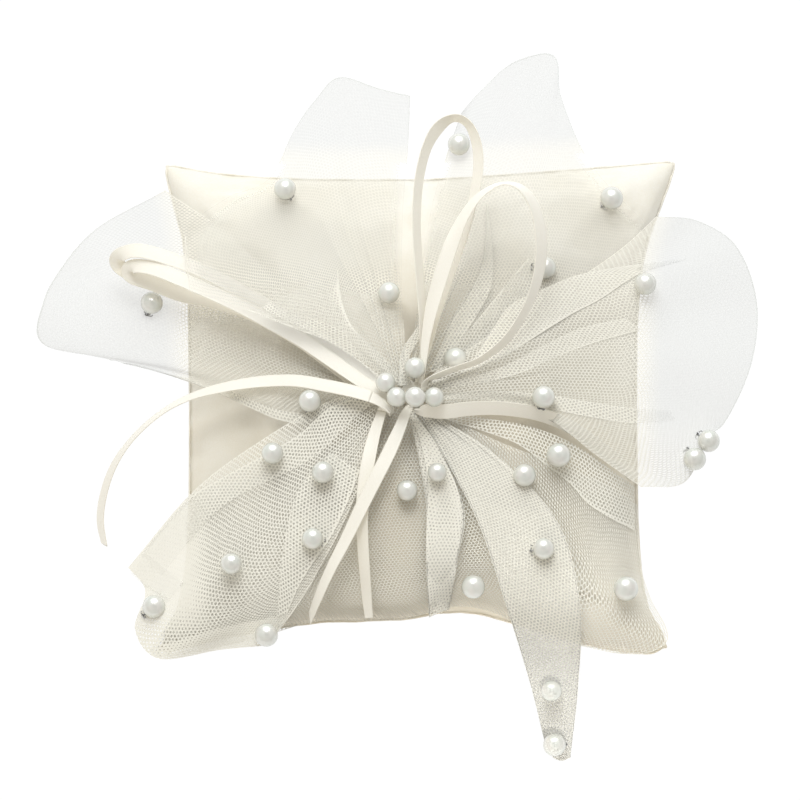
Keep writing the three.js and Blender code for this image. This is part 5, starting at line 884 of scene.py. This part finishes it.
def petal(node):
    pleats, depth, lap, reach, turn, dens0, wave, waves = PETAL_LOOK[node]
    G = [np.array(g, float) for g in PETALS[node]]
    low = node in ("tulle_lower_skirt",)
    ctrl = []
    for g in G:
        d = g[0] - BIND
        d[2] = 0
        neck = BIND + unit(d) * 3.2
        neck[2] = 60.6 if low else min(62.6, g[0][2] - 0.5)
        ctrl.append(np.concatenate([[neck], g]))
    m = len(ctrl[0])
    s0 = 1.0 / (m - 1)
    rows = np.array([catmull(g, 160) for g in ctrl])
    D = catmull(rows, 240).transpose(1, 0, 2)              # dense surface, rows outward, columns across
    wide = np.linalg.norm(np.diff(D, axis=1), axis=2).sum(1)
    long_ = np.linalg.norm(np.diff(D, axis=0), axis=2).sum(0).mean()
    nc = int(NC * min(1.0, 0.35 + wide.max() / 200))
    nr = int(NR * min(1.0, 0.3 + long_ / 150))
    T, Sv = edged(nc, 0.30 / wide.max()), edged(nr, 0.30 / long_)
    P = np.zeros((len(Sv), len(T), 3))
    tt = np.linspace(0, 1, D.shape[1])
    ss_ = np.linspace(0, 1, D.shape[0])
    phase = 0.7 + 0.37 * len(node)
    for i, s in enumerate(Sv):
        k = min(int(s * (len(ss_) - 1)), len(ss_) - 2)
        f = s * (len(ss_) - 1) - k
        row = D[k] * (1 - f) + D[k + 1] * f
        fade = float(smooth((reach - s) / reach))
        uneven = 0.35 * np.sin(2 * math.pi * T + phase) + 0.25 * np.sin(4 * math.pi * T + 2 * phase)
        ang = 2 * math.pi * pleats * T + uneven * 3 + 0.6 * s
        inn = smooth(T / 0.06) * smooth((1 - T) / 0.06)
        t2 = np.clip(T + lap * fade * inn * np.sin(ang) / (2 * math.pi * pleats), 0, 1)
        for c in range(3):
            P[i, :, c] = np.interp(t2, tt, row[:, c])
        P[i, :, 2] += depth * (fade * 0.8 + 0.15 * smooth((0.95 - s) / 0.5)) * inn * np.cos(ang) * smooth(s / 0.12)
    if wave:
        ww = wave * smooth((Sv - 0.45) / 0.55)[:, None] * np.sin(2 * math.pi * waves * T + phase)[None, :]
        P += normals_of(P) * ww[..., None]
    if node != "tulle_hanging_tail":
        P = rim_shift(P)
    P = above(P, 0.7)
    if node in ("tulle_right_petal", "tulle_lower_skirt", "tulle_upper_right_petal"):
        P = under(P, RIGHT_TAIL_LINE, 52.0)
    # the cloth's own flat measure
    arc = np.concatenate([np.zeros((len(Sv), 1)), np.cumsum(np.linalg.norm(np.diff(P, axis=1), axis=2), axis=1)], axis=1)
    squeeze = 1 + 0.35 * (1 - Sv) ** 2
    mid = (arc - arc[:, -1:] * 0.5) * squeeze[:, None]
    run = np.concatenate([[0], np.cumsum(np.linalg.norm(np.diff(P, axis=0), axis=2).mean(1))])
    ca, sa = math.cos(math.radians(turn)), math.sin(math.radians(turn))
    pitch = NET_PITCH / PITCH[node]                       # the flat measure is in mesh units, so that each net keeps its own hole size
    U = (mid * ca - run[:, None] * sa) * pitch + 400
    Vv = (mid * sa + run[:, None] * ca) * pitch + 400
    dens = np.full(P.shape[:2], dens0) + 0.07 * smooth((0.30 - Sv) / 0.30)[:, None]
    dens = dens + 0.17 * corner_film(P)
    if node == "tulle_lower_left_petal":
        dens = np.maximum(dens, 0.31 * beyond(P.reshape(-1, 3)).reshape(dens.shape))
    dens[:, :2] = dens[:, -2:] = 0.34
    dens[-2:, :] = 0.34
    if node in ("tulle_upper_left_petal", "tulle_upper_right_petal"):      # over the cushion's top these hems run out into the satin
        on = 1 - beyond(P.reshape(-1, 3)).reshape(dens.shape)
        rim_ = np.minimum(smooth(T / 0.10)[None, :] * np.ones_like(dens), smooth((1 - T) / (0.10 if node == "tulle_upper_left_petal" else 0.001))[None, :])
        rim_ = np.minimum(rim_, smooth((1 - Sv) / 0.10)[:, None])
        high = on * smooth((P[..., 1] - 14) / 16)
        dens = dens * (1 - high * (1 - rim_) * 0.9)
        dens = np.where((high > 0.5) & (rim_ < 0.5), np.minimum(dens, 0.03 + 0.12 * rim_), dens)
    verts = [P.reshape(-1, 3)]
    uv = [np.stack([U, Vv], -1).reshape(-1, 2)]
    dn = [dens.ravel()]
    faces = grid_faces(len(Sv), len(T))
    base = P.shape[0] * P.shape[1]
    area = float(tri_area(P))
    # folds that lie back on the petal: one or two more layers between a crisp edge and where they run out
    if node == "tulle_hanging_tail":                       # this piece is folded double: a second layer lies behind the first
        P2 = P - np.array([0, -CE, SE]) * 1.1
        a2, c2, s2 = math.radians(turn + 21), 0, 0
        verts.append(P2.reshape(-1, 3))
        uv.append(np.stack([(mid * math.cos(a2) - run[:, None] * math.sin(a2)) * pitch + 400.7, (mid * math.sin(a2) + run[:, None] * math.cos(a2)) * pitch + 400.4], -1).reshape(-1, 2))
        dn.append(np.full(dens.size, 0.26))
        faces += grid_faces(len(Sv), len(T), base)
        base *= 2
        area *= 2
    for k, fold in enumerate(FOLDS.get(node, []) if node != "tulle_hanging_tail" else []):
        A, B, layers = catmull(fold[0], 90), catmull(fold[1], 90), fold[2]
        view = np.array([0, -CE, SE])
        q = np.unique(np.concatenate([np.linspace(0, 1, 25), [0.485, 0.4925, 0.496, 0.504, 0.5075, 0.515]]))
        q = q if layers == 2 else q[q <= 0.5]
        w = np.abs(np.cos(math.pi * q)) ** 0.85
        w[q < 0.5] = np.cos(math.pi * q[q < 0.5]) ** 0.85
        h = 0.30 + 0.45 * q + 0.25 * np.sin(math.pi * np.clip(w, 0, 1)) * np.where(q > 0.5, 1.3, 0.6)
        L = A[:, None] * (1 - w)[None, :, None] + B[:, None] * w[None, :, None] + view * h[None, :, None]
        taper = smooth(np.linspace(0, 1, 91) / 0.08)
        L = above(rim_shift(L), 0.8)
        if node in ("tulle_right_petal", "tulle_lower_skirt", "tulle_upper_right_petal"):
            L = under(L, RIGHT_TAIL_LINE, 52.0)
        a2 = np.concatenate([np.zeros((91, 1)), np.cumsum(np.linalg.norm(np.diff(L, axis=1), axis=2), axis=1)], axis=1)
        r2 = np.concatenate([[0], np.cumsum(np.linalg.norm(np.diff(L, axis=0), axis=2).mean(1))])
        ang = math.radians(turn + 17 + 9 * k)
        mu = a2 - a2[:, -1:] * 0.5
        uv.append(np.stack([(mu * math.cos(ang) - r2[:, None] * math.sin(ang)) * pitch + 400, (mu * math.sin(ang) + r2[:, None] * math.cos(ang)) * pitch + 400], -1).reshape(-1, 2))
        off = beyond(L.reshape(-1, 3)).reshape(L.shape[:2])
        dd = (dens0 + 0.04) * (1 - 0.8 * off) * (1 - 0.6 * corner_film(L))
        crest = np.abs(q - 0.5) < 0.008
        dd[:, crest] = 0.36 - 0.28 * off[:, crest]
        dn.append(dd.ravel())
        verts.append(L.reshape(-1, 3))
        faces += grid_faces(L.shape[0], L.shape[1], base)
        base += L.shape[0] * L.shape[1]
        area += float(tri_area(L))
    looks = net_looks(np.concatenate(verts), node)
    if node == "tulle_hanging_tail":                       # the layer behind is gathered close
        looks["soft"][P.shape[0] * P.shape[1]:] = 0.7
    o = make(node.replace("tulle_", "tulle_net_"), np.concatenate(verts), faces, M_NET, np.concatenate(uv), {"dens": np.concatenate(dn), **looks})
    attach(o, "root")
    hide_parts(node)
    print("petal", node, "grid", P.shape[:2], "width", wide.max().round(0), "length", round(float(long_)), "area cm2", round(area / 100, 1))
    PETAL_OBJ[node] = (o, P, area)
    return o


def tri_area(P):
    a, b, c, d = P[:-1, :-1], P[:-1, 1:], P[1:, 1:], P[1:, :-1]
    return 0.5 * (np.linalg.norm(np.cross(b - a, c - a), axis=-1).sum() + np.linalg.norm(np.cross(c - a, d - a), axis=-1).sum())


# each petal's cut: widest, longest, and its area as a fan, in metres and square metres
FLAT = {"tulle_left_petal": (0.150, 0.141, 0.0078), "tulle_upper_left_petal": (0.163, 0.131, 0.0088), "tulle_upper_right_petal": (0.126, 0.145, 0.0074), "tulle_right_petal": (0.165, 0.134, 0.0093),
        "tulle_lower_skirt": (0.340, 0.114, 0.0141), "tulle_lower_left_petal": (0.088, 0.135, 0.0064), "tulle_folded_strip": (0.030, 0.091, 0.0017), "tulle_hanging_tail": (0.072, 0.167, 0.0068)}
for node in PETALS:
    o = petal(node)
    w, l, a = FLAT[node]

# ------------------------------------------------------------------ ribbon loops, the knot and the binding under it
for node, name in (("ribbon_loop_left_back", "left_loop_back"), ("ribbon_loop_left_front", "left_loop_front"), ("ribbon_loop_top", "top_loop"), ("ribbon_loop_upper_right", "upper_right_loop")):
    o, length = ribbon_piece(node, name, "root", (0, 0), 0.10)
    print("loop", name, round(length, 1), "mm")


def ball(c, r, nu=40, nv=24, squash=(1, 1, 1), axis=None):
    """Points and quads of a smooth bead."""
    V = [(0, 0, -1)]
    for i in range(1, nv):
        th = math.pi * i / nv - math.pi / 2
        V += [(math.cos(th) * math.cos(2 * math.pi * j / nu), math.cos(th) * math.sin(2 * math.pi * j / nu), math.sin(th)) for j in range(nu)]
    V.append((0, 0, 1))
    F = [(0, 1 + (j + 1) % nu, 1 + j) for j in range(nu)]
    F += [(a + 1, b + 1, c_ + 1, d + 1) for a, b, c_, d in grid_faces(nv - 1, nu, wrap=True)]
    top = len(V) - 1
    F += [(top, top - nu + j, top - nu + (j + 1) % nu) for j in range(nu)]
    V = np.array(V) * r * np.array(squash)
    if axis is not None:
        V = V @ turn_to(axis).T
    return V + np.array(c), F


def turn_to(axis):
    """Rotation that takes +Z to the axis, as a matrix."""
    z = unit(axis)
    x = unit(np.cross([0, 0, 1.0], z)) if abs(z[2]) < 0.999 else np.array([1.0, 0, 0])
    return np.stack([x, np.cross(z, x), z], 1)


def band(c, R, dirn, half, th, rise, centre_shift=0.0, n=72):
    """A closed ribbon turn round the knot, lying in the upright plane along dirn."""
    d = np.array([math.cos(dirn), math.sin(dirn), 0.0])
    w = np.array([-math.sin(dirn), math.cos(dirn), 0.0])
    V, prof = [], [(-half, -th), (-half * 0.9, -th * 1.2), (0, -th), (half * 0.9, -th * 1.2), (half, -th), (half, th), (half * 0.9, th * 1.2), (0, th * 1.6), (-half * 0.9, th * 1.2), (-half, th)]
    for i in range(n):
        q = 2 * math.pi * i / n
        nd = d * math.cos(q) / R + np.array([0, 0, math.sin(q)]) / rise
        nd = unit(nd)
        p = np.array(c) + d * R * math.cos(q) + np.array([0, 0, rise * math.sin(q)]) + w * centre_shift
        pinch = 0.82 + 0.18 * abs(math.sin(q))
        V += [p + w * a * pinch + nd * b for a, b in prof]
    m = len(prof)
    F = grid_faces(n, m, wrap=True)
    F += [((n - 1) * m + j, (n - 1) * m + (j + 1) % m, (j + 1) % m, j) for j in range(m)]
    return np.array(V), F


def joined(parts):
    V, F, b = [], [], 0
    for v, f in parts:
        V.append(v)
        F += [tuple(i + b for i in q) for q in f]
        b += len(v)
    return np.concatenate(V), F


klo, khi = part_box("ribbon_knot")
kc = np.array((klo + khi) / 2) / MM
kr = np.array((khi - klo) / 2) / MM
V, F = joined([ball(kc, 1.0, 36, 20, (kr[0] * 0.86, kr[1] * 0.86, kr[2] * 0.86)),
               band(kc, kr[0] * 0.93, 0.5, 2.3, 0.16, kr[2] * 0.93, 0.5), band(kc, kr[1] * 1.02, 2.0, 2.1, 0.16, kr[2] * 1.02, -0.4)])
uvk = V[:, :2] - V[:, :2].min(0)
knot = make("satin_knot", V, F, M_RIBBON, uvk)
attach(knot, "root")
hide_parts("ribbon_knot")

glo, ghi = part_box("gather_binding")
gc = np.array((glo + ghi) / 2) / MM
gr = (ghi.x - glo.x) / 2 / MM
gz0, gz1 = glo.z / MM + 0.35, ghi.z / MM - 0.35
turns, per = 6, 40
hel = []
for i in range(turns * per + 1):
    q = 2 * math.pi * i / per
    rr = gr - 0.38 + 0.05 * math.sin(3 * q + 0.4)
    hel.append((gc[0] + rr * math.cos(q), gc[1] + rr * math.sin(q), gz0 + (gz1 - gz0) * i / (turns * per) + 0.08 * math.sin(2 * q)))
hel = np.array(hel)
ht = unit(np.gradient(hel, axis=0))
ha = unit(np.cross(ht, [0, 0, 1.0]))
hb = np.cross(ht, ha)
HV = []
for i in range(len(hel)):
    for q in np.linspace(0, 2 * math.pi, 8, endpoint=False):
        HV.append(hel[i] + 0.27 * (math.cos(q) * ha[i] + math.sin(q) * hb[i]))
HF = grid_faces(len(hel), 8, wrap=True) + [tuple(range(8))[::-1], tuple(range((len(hel) - 1) * 8, len(hel) * 8))]
bind = make("thread_binding", HV, HF, M_THREAD)
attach(bind, "root")
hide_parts("gather_binding")


# ------------------------------------------------------------------ pearls
def prong(a, width=0.95, thick=0.20):
    """One bent claw: out from the middle, then up towards the bead, with a rounded tip. Lies along +X before it turns by a."""
    path = [(0.35, 0.0), (0.9, -0.04), (1.35, -0.02), (1.72, 0.12), (1.95, 0.42), (2.0, 0.78), (1.9, 1.05)]
    path = catmull(np.array(path), 14)
    t = unit(np.gradient(path, axis=0))
    V = []
    for i, (x, z) in enumerate(path):
        k = 1 - 0.55 * smooth((i - 9) / 5)
        hw = width / 2 * float(k) * (0.75 + 0.25 * math.cos(i * 0.35))
        nx, nz = -t[i][1], t[i][0]
        for sy, sn in ((-1, -1), (-0.6, -1.25), (0.6, -1.25), (1, -1), (1, 1), (0.6, 1.2), (-0.6, 1.2), (-1, 1)):
            V.append((x + nx * sn * thick / 2, sy * hw, z + nz * sn * thick / 2))
    V = np.array(V)
    F = grid_faces(len(path), 8, wrap=True, flip=True) + [tuple(range(8)), tuple(range((len(path) - 1) * 8, len(path) * 8))[::-1]]
    R = np.array([[math.cos(a), -math.sin(a), 0], [math.sin(a), math.cos(a), 0], [0, 0, 1.0]])
    return V @ R.T, F


def claw_parts():
    parts = [prong(math.pi / 4 + k * math.pi / 2) for k in range(4)]
    hub, hf = ball((0, 0, -0.02), 1.0, 28, 12, (0.95, 0.95, 0.26))
    parts.append((hub, hf))
    ringv, ringf = [], []
    nq, mq = 32, 8
    for i in range(nq):
        q = 2 * math.pi * i / nq
        for j in range(mq):
            p = 2 * math.pi * j / mq
            rr = 0.62 + 0.14 * math.cos(p)
            ringv.append((rr * math.cos(q), rr * math.sin(q), -0.24 + 0.12 * math.sin(p)))
    ringf = grid_faces(nq, mq, wrap=True) + [((nq - 1) * mq + j, (nq - 1) * mq + (j + 1) % mq, (j + 1) % mq, j) for j in range(mq)]
    parts.append((np.array(ringv), ringf))
    return parts


CLAW = joined(claw_parts())
for num, sheet_, dia, c, axis in STUDS:
    c, axis, r = np.array(c), unit(np.array(axis)), dia / 2
    V, F = ball(c, r, 44, 26, (1, 1, 0.985), axis)
    o = make("pearl_" + num, V, F, M_PEARL)
    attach(o, "root")
    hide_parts("pearl_stud_" + num)
    spin = 0.4 * (int(num) % 5)
    R = turn_to(axis)
    Z = np.array([[math.cos(spin), -math.sin(spin), 0], [math.sin(spin), math.cos(spin), 0], [0, 0, 1.0]])
    cv = CLAW[0] @ Z.T @ R.T + (c - axis * (r + 1.15))
    post, pf = ball((0, 0, 0), 1.0, 12, 8, (0.4, 0.4, 0.9))
    V, F = joined([(cv, CLAW[1]), (post @ R.T + (c - axis * (r + 0.45)), pf)])
    k = make("claw_" + num, V, F, M_CLAW)
    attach(k, "root")
for name, c, dia in CLUSTER:
    V, F = ball(np.array(c), dia / 2, 44, 26, (1, 1, 0.985), (0.9, 0.2, 0.35))
    o = make(name.replace("cluster_pearl", "sewn_pearl"), V, F, M_PEARL)
    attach(o, "root")
    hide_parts(name)


# ------------------------------------------------------------------ floor, lights
def plain(name, colour, glow=0.0):
    m = bpy.data.materials.new(name)
    m.use_nodes = True
    b = m.node_tree.nodes["Principled BSDF"]
    b.inputs["Base Color"].default_value = colour
    b.inputs["Roughness"].default_value = 0.9
    b.inputs["Specular IOR Level"].default_value = 0.1
    b.inputs["Emission Color"].default_value = (1, 1, 1, 1)
    b.inputs["Emission Strength"].default_value = glow
    return m


floor = make("floor", [(-9000, -9000, -0.4), (9000, -9000, -0.4), (9000, 9000, -0.4), (-9000, 9000, -0.4)], [(0, 1, 2, 3)], plain("floor", (FLOOR_BASE, FLOOR_BASE, FLOOR_BASE, 1), FLOOR_GLOW))


def softbox(name, at, size, power, colour=(1, 1, 1), aim=(0, 0, 0.04), shape="DISK"):
    l = bpy.data.lights.new(name, "AREA")
    l.shape = shape
    l.size = size
    l.energy = power
    l.color = colour
    o = bpy.data.objects.new(name, l)
    scene.collection.objects.link(o)
    o.location = at
    o.rotation_mode = "QUATERNION"
    o.rotation_quaternion = (Vector(aim) - Vector(at)).to_track_quat("-Z", "Y")
    o.visible_camera = False
    return o


for l in LIGHTS:
    softbox(*l).visible_glossy = l[0] in ("key", "top")
beam = bpy.data.lights.new("low_accent", "SPOT")       # lifts the hanging end, which lies in the cushion's own shadow
beam.energy, beam.color, beam.shadow_soft_size = ACCENT, (1.0, 0.985, 0.95), 0.05
beam.spot_size, beam.spot_blend = math.radians(7.0), 1.0
bo = bpy.data.objects.new("low_accent", beam)
scene.collection.objects.link(bo)
bo.location = (0.12, -0.75, 0.55)
bo.rotation_mode = "QUATERNION"
bo.rotation_quaternion = (Vector((0.054, -0.125, 0.010)) - Vector(bo.location)).to_track_quat("-Z", "Y")
bo.visible_glossy = False
world = bpy.data.worlds.new("studio")
scene.world = world
world.use_nodes = True
world.node_tree.nodes["Background"].inputs[0].default_value = (*WORLD[:3], 1)
world.node_tree.nodes["Background"].inputs[1].default_value = WORLD[3]

# a dark card round the camera, seen only in reflections
V, F = [(0, 0, 0)], []
for j in range(32):
    V.append((CARD[0] * math.cos(2 * math.pi * j / 32), CARD[0] * math.sin(2 * math.pi * j / 32), 0))
F = [(0, 1 + j, 1 + (j + 1) % 32) for j in range(32)]
R = turn_to(np.array(BACK))
cv = (np.array(V) @ R.T) + np.array(AIM) + np.array(BACK) * CARD[1]
card = make("dark_card", cv * 1000, F, plain("card", (0.03, 0.03, 0.03, 1)))
card.visible_camera = card.visible_diffuse = card.visible_transmission = card.visible_shadow = False
